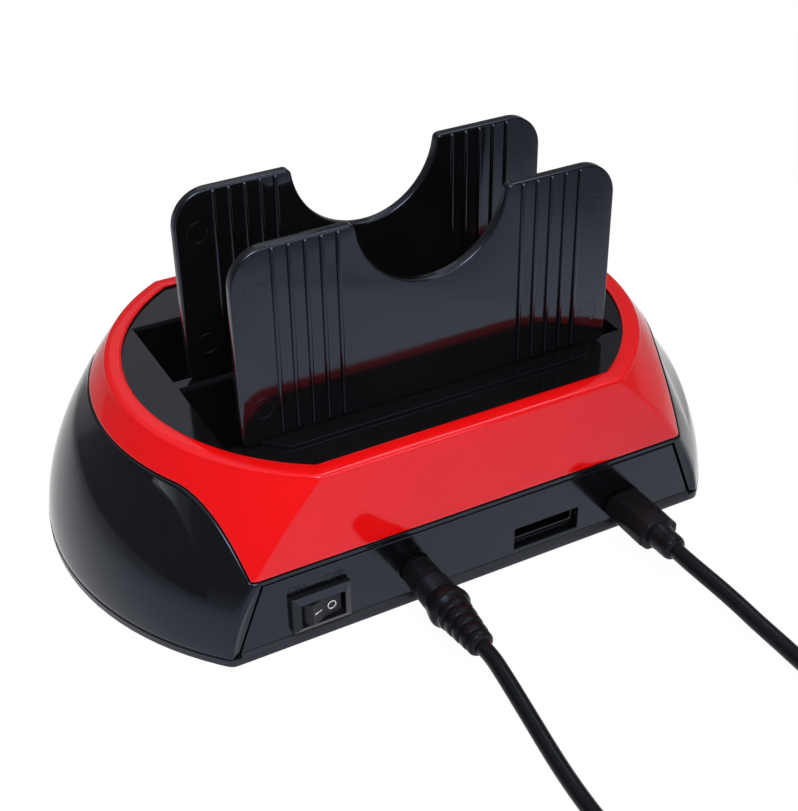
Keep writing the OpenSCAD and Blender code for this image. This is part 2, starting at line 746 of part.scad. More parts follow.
// Two insulated leads from the blades down to the board
module switch_leads() {
    lead_r = 0.9;
    from = -panel_y + switch_deep + 5;
    to = from + 6;
    color([0.7, 0.1, 0.1]) for (s = [-1, 1]) translate([switch_x + s * blade_gap / 2, 0, 0]) {
        along_y(0, to, switch_z) cylinder(h = to - from, r = lead_r);
        translate([0, to, switch_z]) sphere(r = lead_r);
        translate([0, to, board_top]) cylinder(h = switch_z - board_top, r = lead_r);
    }
}

// Power socket: round collar in the panel, block on the board, centre pin
module dc_jack() {
    block = 9.4;
    color(c_black) difference() {
        union() {
            along_y(dc_x, -panel_back + 1, dc_z) cylinder(h = panel_t + 0.8, r = dc_r);
            slab(dc_x, board_top + (dc_z + dc_r + 0.4 - board_top) / 2, block, dc_z + dc_r + 0.4 - board_top,
                -panel_back + 0.2, -panel_y + dc_deep + 2);
        }
        along_y(dc_x, -panel_y + dc_deep, dc_z) cylinder(h = dc_deep + 1, r = dc_bore_r);
        along_y(dc_x, -panel_y + dc_deep + 3, dc_z) cylinder(h = 4, r = pin_r + pivot_gap);
    }
}
module dc_jack_pin() {
    color(c_steel) along_y(dc_x, -panel_y + dc_deep + 2, dc_z) cylinder(h = dc_deep, r = pin_r);
}
// The free socket stands on the board behind its window in the panel
esata_back = -panel_y + 9;
module esata_shell() {
    color(c_steel) {
        socket(esata_x, esata_z + esata_up, esata_w, esata_h, esata_wall, -panel_back + esata_in, esata_back);
        slab(esata_x, board_top + esata_up / 2, esata_w - 2, esata_up, -board_y + 0.5, esata_back);
    }
}
module esata_tongue() {
    front = -panel_back + 2.4;
    color(c_black) {
        slab(esata_x, esata_z + esata_up + 0.6, 9.6, 1.3, front, esata_back - socket_back);
        slab(esata_x - 5.3, esata_z + esata_up + 0.1, 1, 2.3, front, esata_back - socket_back);
    }
}
module usb_shell() {
    color(c_steel) {
        socket(usb_x, usb_z, usb_w, usb_h, usb_wall, -panel_y + 0.6, -panel_y + 8.4);
        slab(usb_x, board_top + usb_stand / 2, usb_w - 2, usb_stand, -board_y + 0.5, -panel_y + 8);
    }
}
module usb_tongue() {
    color(c_black) slab(usb_x, usb_z, 4.4, 0.9, -panel_y + 2.2, -panel_y + 8.4 - socket_back);
}

// Main board with its chip, capacitors and the two drive receptacles
board_screw_d = 1.8;
board_screw_at = [[-44, 40], [44, 40], [44, -36], [-47, -23]];
module at_board_screws() {
    for (p = board_screw_at) translate([p[0], p[1], 0]) children();
}
switch_room = 3;
module main_board() {
    color([0.05, 0.30, 0.15]) difference() {
        translate([-board_x, -board_y, board_z]) cube([2 * board_x, 2 * board_y, board_t]);
        translate([-board_x - 1, -board_y - 1, board_z - 1])
            cube([switch_x + switch_w / 2 + switch_room + board_x + 1, switch_deep + board_y - panel_y + 7,
                board_t + 2]);
        at_board_screws()
            translate([0, 0, board_z - 1]) cylinder(h = board_t + 2, d = board_screw_d + 2 * hole_gap);
    }
}
module bridge_chip() {
    color(c_black) translate([-38, -7, board_top]) cube([14, 14, 1.2]);
}
module capacitors() {
    color([0.2, 0.2, 0.35]) for (y = [-36, -28]) translate([-6, y, board_top]) cylinder(h = 6, d = 6);
}
module sata_receptacle(side) {
    color(c_black) translate([sata_off, side * slot_y, 0]) {
        translate([0, 0, board_top]) upright(sata_w, sata_base_d, seat_z - board_top);
        for (b = [[-16.4, 20.6], [6.4, 10.4]])
            translate([b[0], -0.9, seat_z - eps]) cube([b[1], 1.4, sata_top - seat_z]);
        for (s = [-1, 1]) translate([s * (sata_w - sata_post) / 2, 0, seat_z - eps])
            upright(sata_post, sata_base_d - 2, sata_top - seat_z);
    }
}
module sata_receptacle_rear() { sata_receptacle(-1); }
module sata_receptacle_front() { sata_receptacle(1); }

module rubber_feet() {
    color([0.1, 0.1, 0.1]) four(foot_x, foot_y) cylinder(h = foot_h + foot_in - eps, d = foot_d);
}
module housing_screws() {
    color(c_steel) four(boss_x, boss_y) {
        translate([0, 0, screw_head_z]) cylinder(h = screw_head_h - pivot_gap, d = screw_head_d);
        translate([0, 0, screw_head_z]) cylinder(h = pillar_z + pilot_l - 2 - screw_head_z, d = screw_d);
    }
}
module board_screws() {
    color(c_steel) at_board_screws() {
        translate([0, 0, board_top + pivot_gap]) cylinder(h = 1.2, d = 3.6);
        translate([0, 0, foot_h + foot_in + 0.2])
            cylinder(h = board_top + 0.5 - foot_h - foot_in, d = board_screw_d);
    }
}

// Power plug: grip with fine rings, shoulder and ribbed strain relief, turned round its axis
grip_ring_n = 8;
grip_ring_pitch = 0.6;
relief_n = 4;
relief_pitch = 2.7;
module dc_plug_grip() {
    rings = [for (k = [0:grip_ring_n - 1]) let (s = 7.2 + k * grip_ring_pitch, r = 4.2 + 0.03 * k)
        for (p = [[r, s], [r - 0.15, s + grip_ring_pitch / 2]]) p];
    relief = [for (k = [0:relief_n - 1]) let (s = 17 + k * relief_pitch, r = 4.3 - 0.3 * k)
        for (p = [[r, s], [r - 0.15, s + 1.7], [r - 0.7, s + 1.8], [r - 0.7, s + 2.5]]) p];
    color(c_cord) along_y(dc_x, -panel_y - plug_gap, dc_z) rotate_extrude() polygon(concat(
        [[0, 0], [3.4, 0], [3.7, 0.5], [4, 7]], rings,
        [[4.5, 12.2], [5.1, 14.8], [5.1, 15.8], [4.6, 16.6]], relief,
        [[3.1, dc_grip_l - 1], [2.8, dc_grip_l], [0, dc_grip_l]]
    ));
}
module dc_plug_barrel() {
    color(c_steel) along_y(dc_x, -panel_y - plug_gap + barrel_l, dc_z) difference() {
        cylinder(h = barrel_l, r = barrel_r);
        translate([0, 0, -1]) cylinder(h = barrel_l + 0.5, r = barrel_bore_r);
    }
}
module power_cord() { color(c_cord) tube(power_route, power_d, tube_sides); }
module power_coil() { color(c_cord) tube(power_loops, power_d, coil_sides); }
module power_tail() { color(c_cord) tube(power_tail_route, power_d, tube_sides); }

// Strap round a coil's bundle of turns, at one angle
module coil_tie(c, r, d, turns, high, angle) {
    least = r - (d + loop_gap) * turns / 2 - d / 2;
    inner = sqrt(least * least - tie_w * tie_w / 4) - tie_gap;
    reach = r + d / 2 + tie_gap - inner;
    tall = high + d / 2 + tie_gap;
    color([0.12, 0.12, 0.13]) translate([c[0], c[1], 0]) rotate([0, 0, angle])
        translate([inner - tie_t, -tie_w / 2, 0]) difference() {
            cube([reach + 2 * tie_t, tie_w, tall + tie_t]);
            translate([tie_t, -1, tie_t]) cube([reach, tie_w + 2, tall - tie_t]);
        }
}
module power_coil_tie() { coil_tie(power_c, power_r, power_d, power_turns, power_high, 215); }
module usb_coil_tie() { coil_tie(usb_c, usb_r, usb_d, usb_turns, usb_high, 270); }

// Plug-top power adapter at the power cord's far end
module adapter_case() {
    bevel = 3;
    color(c_cord) {
        translate([adapter_c[0], adapter_c[1] + adapter_size[1] / 2, adapter_size[2] / 2])
            bar(adapter_size[0], adapter_size[2], adapter_size[1], bevel, bevel);
        translate(adapter_exit) rotate([0, 90, 0]) rotate_extrude() polygon([
            [0, 0], [2.9, 0], [3.3, 3], [2.7, 3.2], [2.7, 4.2], [3.6, 4.4], [3.8, 7], [3.1, 7.2], [3.1, 8.2],
            [4.1, 8.4], [4.4, adapter_relief_l + 1], [0, adapter_relief_l + 1]
        ]);
    }
}
module adapter_prongs() {
    blade = [17, 1.5, 6.3];
    apart = 12.7;
    color(c_steel) translate([adapter_c[0] + adapter_size[0] / 2, adapter_c[1], adapter_size[2] / 2])
        for (s = [-1, 1]) translate([0, (s * apart - blade[1]) / 2, -blade[2] / 2]) cube(blade);
}

// USB plug: bevelled overmould, round strain relief, thin metal shell
module usb_plug_grip() {
    color(c_cord) translate([usb_x, -panel_y - plug_gap, usb_z]) {
        bar(usb_grip_w, usb_grip_h, usb_grip_l, usb_grip_bevel, 0.6);
        along_y(0, -usb_grip_l + 1, 0) rotate_extrude() polygon([
            [0, 0], [usb_relief_r, 0], [usb_relief_r, 3], [usb_relief_r - 0.2, usb_relief_l],
            [usb_relief_r - 0.7, usb_relief_l + 1], [0, usb_relief_l + 1]
        ]);
    }
}
module usb_plug_shell() {
    front = -panel_y + 6;
    color(c_steel) difference() {
        slab(usb_x, usb_z, 6.5, 3, -panel_y - plug_gap, front);
        slab(usb_x, usb_z, 5.8, 2.3, -panel_y + 0.4, front + 1);
    }
}
module usb_cord() { color(c_cord) tube(usb_route, usb_d, tube_sides); }
module usb_coil() { color(c_cord) tube(usb_loops, usb_d, coil_sides); }
module usb_tail() { color(c_cord) tube(usb_tail_route, usb_d, tube_sides); }

// Far end of the USB cord: the flat plug that goes into a computer
usb_a_relief = 10;
usb_a_l = 22;
usb_a_shell_l = 12;
module usb_a_grip() {
    color(c_cord) translate([usb_out[0], usb_a_y, usb_a_z]) {
        translate([0, usb_a_relief + usb_a_l, 0]) bar(15.6, 8, usb_a_l, 1.6, 0.8);
        along_y(0, usb_a_relief + 1, 0) rotate_extrude() polygon([
            [0, 0], [3.6, 0], [3.6, 2], [3, 2.2], [3, 3.2], [3.5, 3.4], [3.4, 6], [2.9, 6.2], [2.9, 7.2],
            [3.3, 7.4], [3.1, usb_a_relief + 1], [0, usb_a_relief + 1]
        ]);
    }
}
module usb_a_shell() {
    from = usb_a_y + usb_a_relief + usb_a_l;
    color(c_steel) difference() {
        slab(usb_out[0], usb_a_z, 12, 4.5, from, from + usb_a_shell_l);
        slab(usb_out[0], usb_a_z, 11.3, 3.8, from + 0.5, from + usb_a_shell_l + 1);
    }
}
module usb_a_tongue() {
    from = usb_a_y + usb_a_relief + usb_a_l;
    color(c_white)
        slab(usb_out[0], usb_a_z - 1, 11.3 - 2 * pivot_gap, 1.7, from + 0.5, from + usb_a_shell_l - 0.5);
}

base_tray();
body_shell();
red_cover();
deck();
backrest_rear();
backrest_front();
rear_panel();
front_panel();
light_pipes();
status_leds();
switch_bezel();
switch_rocker();
switch_terminals();
switch_leads();
dc_jack();
dc_jack_pin();
esata_shell();
esata_tongue();
usb_shell();
usb_tongue();
main_board();
bridge_chip();
capacitors();
sata_receptacle_rear();
sata_receptacle_front();
rubber_feet();
housing_screws();
board_screws();
dc_plug_grip();
dc_plug_barrel();
power_cord();
power_coil();
power_coil_tie();
power_tail();
adapter_case();
adapter_prongs();
usb_plug_grip();
usb_plug_shell();
usb_cord();
usb_coil();
usb_coil_tie();
usb_tail();
usb_a_grip();
usb_a_shell();
usb_a_tongue();
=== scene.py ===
import json
import math

import bmesh
import bpy
import numpy as np
from mathutils import Matrix, Vector

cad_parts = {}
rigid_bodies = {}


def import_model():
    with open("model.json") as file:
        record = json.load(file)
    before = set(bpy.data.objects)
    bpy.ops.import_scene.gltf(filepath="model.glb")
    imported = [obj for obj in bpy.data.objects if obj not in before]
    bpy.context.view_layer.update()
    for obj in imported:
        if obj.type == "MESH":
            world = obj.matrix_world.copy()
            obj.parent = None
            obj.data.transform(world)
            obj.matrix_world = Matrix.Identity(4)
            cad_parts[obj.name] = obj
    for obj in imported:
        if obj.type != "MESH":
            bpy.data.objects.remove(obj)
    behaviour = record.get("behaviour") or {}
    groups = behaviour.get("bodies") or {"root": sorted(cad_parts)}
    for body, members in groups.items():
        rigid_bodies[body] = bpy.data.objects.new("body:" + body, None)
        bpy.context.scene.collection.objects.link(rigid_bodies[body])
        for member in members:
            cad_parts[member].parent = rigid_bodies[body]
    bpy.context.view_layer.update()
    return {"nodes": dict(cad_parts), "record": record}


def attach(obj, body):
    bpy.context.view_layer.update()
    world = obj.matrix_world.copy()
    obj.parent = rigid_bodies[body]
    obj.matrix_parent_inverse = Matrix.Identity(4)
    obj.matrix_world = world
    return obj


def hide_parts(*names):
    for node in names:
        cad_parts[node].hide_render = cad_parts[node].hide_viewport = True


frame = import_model()
scene = bpy.context.scene
scene.view_settings.view_transform = "Standard"

# Shapes are written in millimetres; the camera, the lamps and the stage in metres
MM = 0.001


# Camera, at the photograph's angle

CAM_PLACE = (-0.14131, -0.27897, 0.22664)
CAM_RIGHT = (0.879786, -0.475223, -0.011850)
CAM_DOWN = (-0.272197, -0.483172, -0.832138)
CAM_AHEAD = (0.389725, 0.735329, -0.554442)
CAM_LENS, CAM_SENSOR = 65.552, 36
CAM_CLIP = (0.01, 50)

cam_data = bpy.data.cameras.new("camera")
cam_data.sensor_width = CAM_SENSOR
cam_data.lens = CAM_LENS
cam_data.clip_start, cam_data.clip_end = CAM_CLIP
camera = bpy.data.objects.new("camera", cam_data)
scene.collection.objects.link(camera)
axes = [Vector(CAM_RIGHT), -Vector(CAM_DOWN), -Vector(CAM_AHEAD)]
turn = Matrix([[a[i] for a in axes] for i in range(3)]).to_4x4()
camera.matrix_world = Matrix.Translation(CAM_PLACE) @ turn
scene.camera = camera


# Materials

NOISE_LOW, NOISE_HIGH = 0.3, 0.7
SLOW_DETAIL, FINE_DETAIL = 4, 3
GRAIN_DEPTH = 0.0002
LEAST_ROUGH = 0.02
PLASTIC_IOR = 1.5
COOL, PLAIN = (0.6, 0.72, 1.0), (1.0, 1.0, 1.0)
CLEARNESS = 0.85


def material(name, base, rough, rough_spread, grain, bump, tone, metal=0.0, blotch=25.0,
             specular=0.44, tint=COOL):
    """A moulded or metal surface: slow tone changes, roughness that varies, a fine grain."""
    m = bpy.data.materials.new(name)
    m.use_nodes = True
    nodes, links = m.node_tree.nodes, m.node_tree.links
    shader = nodes["Principled BSDF"]
    place = nodes.new("ShaderNodeTexCoord")
    slow = nodes.new("ShaderNodeTexNoise")
    slow.inputs["Scale"].default_value = blotch
    slow.inputs["Detail"].default_value = SLOW_DETAIL
    fine = nodes.new("ShaderNodeTexNoise")
    fine.inputs["Scale"].default_value = grain
    fine.inputs["Detail"].default_value = FINE_DETAIL
    for n in (slow, fine):
        links.new(place.outputs["Object"], n.inputs["Vector"])
    colour = nodes.new("ShaderNodeValToRGB")
    low = [c * (1 - tone) for c in base]
    high = [min(1.0, c * (1 + tone)) for c in base]
    for stop, at, shade in zip(colour.color_ramp.elements, (NOISE_LOW, NOISE_HIGH), (low, high)):
        stop.position = at
        stop.color = (*shade, 1)
    links.new(slow.outputs["Fac"], colour.inputs["Fac"])
    links.new(colour.outputs["Color"], shader.inputs["Base Color"])
    ramp = nodes.new("ShaderNodeMapRange")
    ramp.inputs["From Min"].default_value = NOISE_LOW
    ramp.inputs["From Max"].default_value = NOISE_HIGH
    ramp.inputs["To Min"].default_value = max(LEAST_ROUGH, rough - rough_spread)
    ramp.inputs["To Max"].default_value = rough + rough_spread
    links.new(fine.outputs["Fac"], ramp.inputs["Value"])
    links.new(ramp.outputs["Result"], shader.inputs["Roughness"])
    relief = nodes.new("ShaderNodeBump")
    relief.inputs["Strength"].default_value = bump
    relief.inputs["Distance"].default_value = GRAIN_DEPTH
    links.new(fine.outputs["Fac"], relief.inputs["Height"])
    links.new(relief.outputs["Normal"], shader.inputs["Normal"])
    shader.inputs["Metallic"].default_value = metal
    shader.inputs["Specular IOR Level"].default_value = specular
    shader.inputs["Specular Tint"].default_value = (*tint, 1)
    shader.inputs["IOR"].default_value = PLASTIC_IOR
    return m


# Each has its colour, its roughness with its spread, its grain and bump, and its change of tone
RED = material("red_gloss", (0.76, 0.004, 0.004), 0.06, 0.01, 900, 0.008, 0.04, blotch=18)
BLACK = material("black_gloss", (0.0045, 0.0045, 0.005), 0.09, 0.015, 900, 0.01, 0.2, blotch=40)
PLATE = material("plate_black", (0.0045, 0.0045, 0.005), 0.09, 0.015, 900, 0.01, 0.2, blotch=40,
                 specular=0.6)
# Metal darkened as painted shade, for the eSATA shell sunk in its socket
SHADED_STEEL = material("steel_painted_shade", (0.06, 0.06, 0.065), 0.34, 0.06, 1400, 0.06, 0.1, metal=1.0)
CHARCOAL = material("charcoal", (0.003, 0.003, 0.0035), 0.13, 0.02, 1600, 0.03, 0.2)
SATIN = material("black_satin", (0.006, 0.006, 0.007), 0.28, 0.06, 2200, 0.12, 0.2)
CORD = material("cord_black", (0.007, 0.007, 0.008), 0.24, 0.05, 1500, 0.1, 0.25, specular=0.12)
GRIP = material("grip_black", (0.007, 0.007, 0.008), 0.3, 0.05, 1500, 0.1, 0.25, specular=0.15)
# The tray lip's grey is a painted reflection: it stands in for the sheen the glossy panel shows
LIP_PAINTED_SHEEN = material("tray_edge_painted_sheen", (0.028, 0.029, 0.034), 0.5, 0.05, 1500, 0.04, 0.1, specular=0.15)
SWITCH = material("switch_black", (0.008, 0.008, 0.009), 0.3, 0.06, 2400, 0.15, 0.12, specular=0.32)
ROCKER = material("rocker_black", (0.007, 0.007, 0.008), 0.3, 0.06, 2400, 0.2, 0.12, specular=0.22)
RUBBER = material("foot_rubber", (0.016, 0.016, 0.016), 0.7, 0.1, 1800, 0.4, 0.25)
STEEL = material("plated_metal", (0.62, 0.63, 0.65), 0.24, 0.08, 1400, 0.06, 0.08, metal=1.0,
                 tint=PLAIN)
BOARD = material("board_green", (0.006, 0.035, 0.015), 0.4, 0.08, 1400, 0.15, 0.3, blotch=160,
                 tint=PLAIN)
SLEEVE = material("capacitor_sleeve", (0.02, 0.02, 0.06), 0.25, 0.05, 900, 0.05, 0.2, tint=PLAIN)
WIRE = material("wire_red", (0.36, 0.015, 0.015), 0.4, 0.05, 1500, 0.1, 0.15, tint=PLAIN)
LED = material("led_lens", (0.16, 0.30, 0.68), 0.15, 0.03, 900, 0.02, 0.1, tint=PLAIN)
WHITE = material("white_plastic", (0.72, 0.72, 0.70), 0.4, 0.06, 1500, 0.1, 0.05, tint=PLAIN)
MARK = material("white_mark", (0.70, 0.71, 0.73), 0.5, 0.05, 1800, 0.1, 0.06, tint=PLAIN)
DARK_MARK = material("dark_mark", (0.006, 0.006, 0.007), 0.5, 0.05, 1800, 0.1, 0.1)
CLEAR = material("clear_plastic", (0.82, 0.86, 0.92), 0.12, 0.03, 900, 0.02, 0.03, tint=PLAIN)
CLEAR.node_tree.nodes["Principled BSDF"].inputs["Transmission Weight"].default_value = CLEARNESS

SLOT_MATERIAL = {
    "red_gloss": RED, "black_gloss": BLACK, "charcoal": CHARCOAL, "black_satin": SATIN,
    "cord_black": CORD, "foot_rubber": RUBBER, "plated_metal": STEEL, "board_green": BOARD,
    "capacitor_sleeve": SLEEVE, "wire_red": WIRE, "led_lens": LED, "white_plastic": WHITE,
    "clear_plastic": CLEAR,
}
# The eSATA shell takes the darkened metal: painted shade in its recess
NODE_LOOK = {"esata_shell": SHADED_STEEL, "switch_bezel": SWITCH, "switch_rocker": ROCKER}
NODE_SLOT = {s["node"]: s["material_slot"] for s in frame["record"]["subparts"]}
NODE_BODY = {n: b for b, ns in frame["record"]["behaviour"]["bodies"].items() for n in ns}
for node, obj in frame["nodes"].items():
    obj.data.materials.clear()
    obj.data.materials.append(SLOT_MATERIAL[NODE_SLOT[node]])


# Making pieces

# Angles between faces, in degrees, up to which a piece is shaded smooth
SMOOTH, SHELL_SMOOTH, PLATE_SMOOTH, GRIP_SMOOTH, DC_SMOOTH = 35, 50, 40, 40, 60
ROUND_STEPS, ROUND_FROM = 2, 32
WELD, FLAT, FLAT_WEIGHT = 1e-6, 1.0, 100


def piece(name, points_mm, faces, body, slot, smooth=SMOOTH, look=None):
    """A mesh piece from points in millimetres, riding on a body."""
    mesh = bpy.data.meshes.new(name)
    mesh.from_pydata([tuple(c * MM for c in p) for p in points_mm], [], faces)
    mesh.validate()
    bm = bmesh.new()
    bm.from_mesh(mesh)
    bmesh.ops.recalc_face_normals(bm, faces=bm.faces)
    bm.to_mesh(mesh)
    bm.free()
    return mesh_piece(name, mesh, body, slot, smooth, look)


def mesh_piece(name, mesh, body, slot, smooth=SMOOTH, look=None):
    """A mesh as a piece that rides on a body, smooth up to an angle, in its slot's look or another."""
    mesh.shade_smooth()
    mesh.set_sharp_from_angle(angle=math.radians(smooth))
    mesh.materials.clear()
    mesh.materials.append(look or SLOT_MATERIAL[slot])
    obj = bpy.data.objects.new(name, mesh)
    scene.collection.objects.link(obj)
    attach(obj, body)
    return obj


def dressed(node, width):
    """A node's own solid with its edges rounded, standing for the node."""
    bm = bmesh.new()
    bm.from_mesh(frame["nodes"][node].data)
    bmesh.ops.remove_doubles(bm, verts=bm.verts, dist=WELD)
    bmesh.ops.dissolve_limit(bm, angle_limit=math.radians(FLAT), verts=bm.verts, edges=bm.edges)
    name = node + "_dressed"
    mesh = bpy.data.meshes.new(name)
    bm.to_mesh(mesh)
    bm.free()
    obj = mesh_piece(name, mesh, NODE_BODY[node], NODE_SLOT[node], look=NODE_LOOK.get(node))
    rounding = obj.modifiers.new("rounding", "BEVEL")
    rounding.width = width * MM
    rounding.segments = ROUND_STEPS
    rounding.limit_method = "ANGLE"
    rounding.angle_limit = math.radians(ROUND_FROM)
    rounding.harden_normals = True
    rounding.miter_outer = "MITER_ARC"
    flats = obj.modifiers.new("flats", "WEIGHTED_NORMAL")
    flats.weight = FLAT_WEIGHT
    flats.keep_sharp = True
    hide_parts(node)


def ring_faces(n, m, closed_rings=True, closed_profile=True):
    """Quads between n rings of m points."""
    faces = []
    for i in range(n if closed_rings else n - 1):
        j = (i + 1) % n
        for k in range(m if closed_profile else m - 1):
            q = (k + 1) % m
            faces.append((i * m + k, j * m + k, j * m + q, i * m + q))
    return faces


def tube_faces(n, m):
    """Quads between n rings of m points, with the first and the last ring closed."""
    ends = [tuple(range(m)), tuple((n - 1) * m + i for i in reversed(range(m)))]
    return ring_faces(n, m, False, True) + ends


def joined(parts):
    """Several (points, faces) as one."""
    points, faces = [], []
    for p, f in parts:
        base = len(points)
        points += list(p)
        faces += [tuple(base + i for i in face) for face in f]
    return points, faces


def spaced(a, b, n):
    """n + 1 values from a to b."""
    return [a + (b - a) * k / n for k in range(n + 1)]


def round_turns(n):
    """n angles round a circle."""
    return [2 * math.pi * k / n for k in range(n)]


def quarter_round(r):
    """An edge of radius r, as points of (along, inset)."""
    return [(r * (1 - math.cos(a)), r * (1 - math.sin(a))) for a in np.linspace(0, math.pi / 2, 5)]


TO_REAR = Matrix.Rotation(math.radians(90), 3, "X")


def lathe(profile, place, sides=64, hollow=False):
    """A profile of (radius, along) turned round an axis to the rear, closed at its ends or hollow."""
    points, m = [], len(profile)
    for a in round_turns(sides):
        points += [(r * math.cos(a), r * math.sin(a), z) for r, z in profile]
    faces = ring_faces(sides, m, True, hollow)
    if not hollow:
        faces.append(tuple(i * m for i in reversed(range(sides))))
        faces.append(tuple(i * m + m - 1 for i in range(sides)))
    return [tuple(TO_REAR @ Vector(p) + Vector(place)) for p in points], faces


def box_shape(x0, x1, y0, y1, z0, z1):
    """A box between six planes."""
    p = [(x, y, z) for x in (x0, x1) for y in (y0, y1) for z in (z0, z1)]
    f = [(0, 1, 3, 2), (4, 6, 7, 5), (0, 4, 5, 1), (2, 3, 7, 6), (0, 2, 6, 4), (1, 5, 7, 3)]
    return p, f


# Cords. The routes repeat part.scad's points

PANEL_Y, PLUG_GAP = 51.4, 0.3
TIE_T, TIE_GAP, LOOP_GAP = 0.7, 0.1, 0.5
COIL_RINGS, CROSS_TURN = 24, 0.25
CORD_STEPS = 6


def smooth_step(a, b, x):
    s = max(0.0, min(1.0, (x - a) / (b - a)))
    return s * s * (3 - 2 * s)


def coil_route(centre, radius, d, turns, start, way, low, high):
    """A flat coil that winds inwards on its lower layer, crosses, and winds out on its upper one."""
    n = round(turns * COIL_RINGS)
    pitch = d + LOOP_GAP
    points = []
    for i in range(n + 1):
        s = i * turns / n
        a = math.radians(start + way * 360 * s)
        at = radius - pitch * min(s, turns - s)
        z = low + (high - low) * smooth_step(turns / 2 - CROSS_TURN, turns / 2 + CROSS_TURN, s)
        points.append((centre[0] + at * math.cos(a), centre[1] + at * math.sin(a), z))
    return points


def cord_curve(name, points_mm, d, body):
    """A round cord on one smooth curve through its points."""
    data = bpy.data.curves.new(name, "CURVE")
    data.dimensions = "3D"
    data.bevel_depth = d / 2 * MM
    data.bevel_resolution = CORD_STEPS
    data.resolution_u = CORD_STEPS
    data.use_fill_caps = True
    spline = data.splines.new("BEZIER")
    spline.bezier_points.add(len(points_mm) - 1)
    for b, p in zip(spline.bezier_points, points_mm):
        b.co = Vector(p) * MM
        b.handle_left_type = b.handle_right_type = "AUTO"
    data.materials.append(CORD)
    obj = bpy.data.objects.new(name, data)
    scene.collection.objects.link(obj)
    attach(obj, body)
    return obj


DC_X, DC_Z, DC_GRIP_L, DC_D = -17.0, 9.3, 29.0, 3.7
DC_LOW = TIE_T + TIE_GAP + DC_D / 2
DC_HIGH = DC_LOW + DC_D + LOOP_GAP
DC_C, DC_R, DC_TURNS = (-48.7, -162.0), 30.2, 8
DC_END_Y = PANEL_Y + PLUG_GAP + DC_GRIP_L
DC_COIL_X = DC_C[0] + DC_R
ADAPTER_C, ADAPTER_W, ADAPTER_RELIEF = (42.0, -200.0), 58.0, 12.0
power_points = [
    (DC_X, -DC_END_Y, DC_Z), (DC_X, -85, DC_Z), (-17.2, -90, 8.6), (-17.4, -96, 7.2),
    (-17.6, -102, 5.7), (-17.8, -108, 4.2), (-18, -114, 3), (-18.2, -121, 2.2), (-18.4, -128, 2.1),
    (-18.5, -136, 2.2), (DC_COIL_X, -146, DC_LOW), (DC_COIL_X, -152, DC_LOW),
    (DC_COIL_X, DC_C[1] + DC_D, DC_LOW),
] + coil_route(DC_C, DC_R, DC_D, DC_TURNS, 0, -1, DC_LOW, DC_HIGH) + [
    (DC_COIL_X, DC_C[1] - DC_D, DC_HIGH), (DC_COIL_X, -172, DC_HIGH), (-18.3, -178, 7),
    (-17.5, -184, 7.2), (-15.5, -189.5, 7.5), (-12, ADAPTER_C[1] + 5.5, 7.8),
    (-7.5, ADAPTER_C[1] + 1.8, 8), (-3, ADAPTER_C[1] + 0.2, 8),
    (ADAPTER_C[0] - ADAPTER_W / 2 - ADAPTER_RELIEF, ADAPTER_C[1], 8),
]
power_cord = cord_curve("power_lead_cord", power_points, DC_D, "power_lead")
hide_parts("power_cord", "power_coil", "power_tail")

USB_X, USB_Z, USB_D = 40.5, 6.9, 4.0
USB_GRIP_L, USB_RELIEF_L = 14.5, 6.6
USB_LOW = TIE_T + TIE_GAP + USB_D / 2
USB_HIGH = USB_LOW + USB_D + LOOP_GAP
USB_C, USB_R, USB_TURNS = (75.6, -134.0), 30.9, 6.5
USB_END_Y = PANEL_Y + PLUG_GAP + USB_GRIP_L + USB_RELIEF_L
USB_A_Y, USB_A_Z = -100.0, 4.4
USB_IN_X, USB_OUT_X = USB_C[0] - USB_R, USB_C[0] + USB_R
usb_points = [
    (USB_X, -USB_END_Y, USB_Z), (USB_X, -77, USB_Z), (41, -82, 6.5), (41.8, -87, 5.8),
    (42.8, -93, 4.7), (43.7, -99, 3.5), (44.5, -106, 2.6), (44.7, -113, 2.4),
    (USB_IN_X, -119, USB_LOW), (USB_IN_X, -124, USB_LOW), (USB_IN_X, USB_C[1] + USB_D, USB_LOW),
] + coil_route(USB_C, USB_R, USB_D, USB_TURNS, 180, 1, USB_LOW, USB_HIGH) + [
    (USB_OUT_X, USB_C[1] + USB_D, USB_HIGH), (USB_OUT_X, -125, USB_HIGH), (USB_OUT_X, -118, 7.2),
    (USB_OUT_X, -112, 5.8), (USB_OUT_X, -106, USB_A_Z), (USB_OUT_X, USB_A_Y, USB_A_Z),
]
usb_cord = cord_curve("usb_lead_cord", usb_points, USB_D, "usb_lead")
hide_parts("usb_cord", "usb_coil", "usb_tail")


# Housing skin, from part.scad's formulas but for the corners beside the panels

# Half length at the ends and at the corners, and half width: at the foot, and at the deck's edge
BASE = (84.6, 63.0, 52.2)
CREASE = (66.4, 38.8, 49.3)
DECK_Z, DOME_POWER, CORNER_R, WALL, SEAM = 41.0, 1.8, 3.0, 2.2, 0.3
# The body's foot, the panels' top, the red rim and the deck's thickness
SEAM_Z, PANEL_TOP, RIM_W, RIM_H, DECK_T = 2.2, 19.2, 4.4, 0.9, 2.0
# The parting line: its heights, where along the wing it bends, and how sharply
COVER_SIDE_Z, COVER_CORNER_Z, COVER_BEND, COVER_POWER = 35.3, 20.7, 0.5, 1.75
# The wing's scoop: its depth, its ridge, the rise of the ridge, its lip, and where it fades
SCOOP_D, RIDGE_Z, RIDGE_RISE, LIP_W = 1.7, 25.7, 11.6, 2.0
SCOOP_ENDS, SCOOP_SLOPE = (0.25, 0.52), 0.15
# The facet over the scoop: its heights, and the stretch of the wing on which it grows
FACET_LEAST, FACET_MOST, FACET_POWER, FACET_FROM, FACET_TO = 0.9, 10.6, 1.25, 0.28, 0.91
PANEL_INSET, PANEL_STEP, CORNER_LEAST = 1.4, 0.4, 0.4
# Beside a panel the housing's corner starts nearly flush with it and slopes out
FLUSH_GAP, FLUSH_SLOPE = 0.05, 0.35
ARC_N, CORNER_N = 56, 12


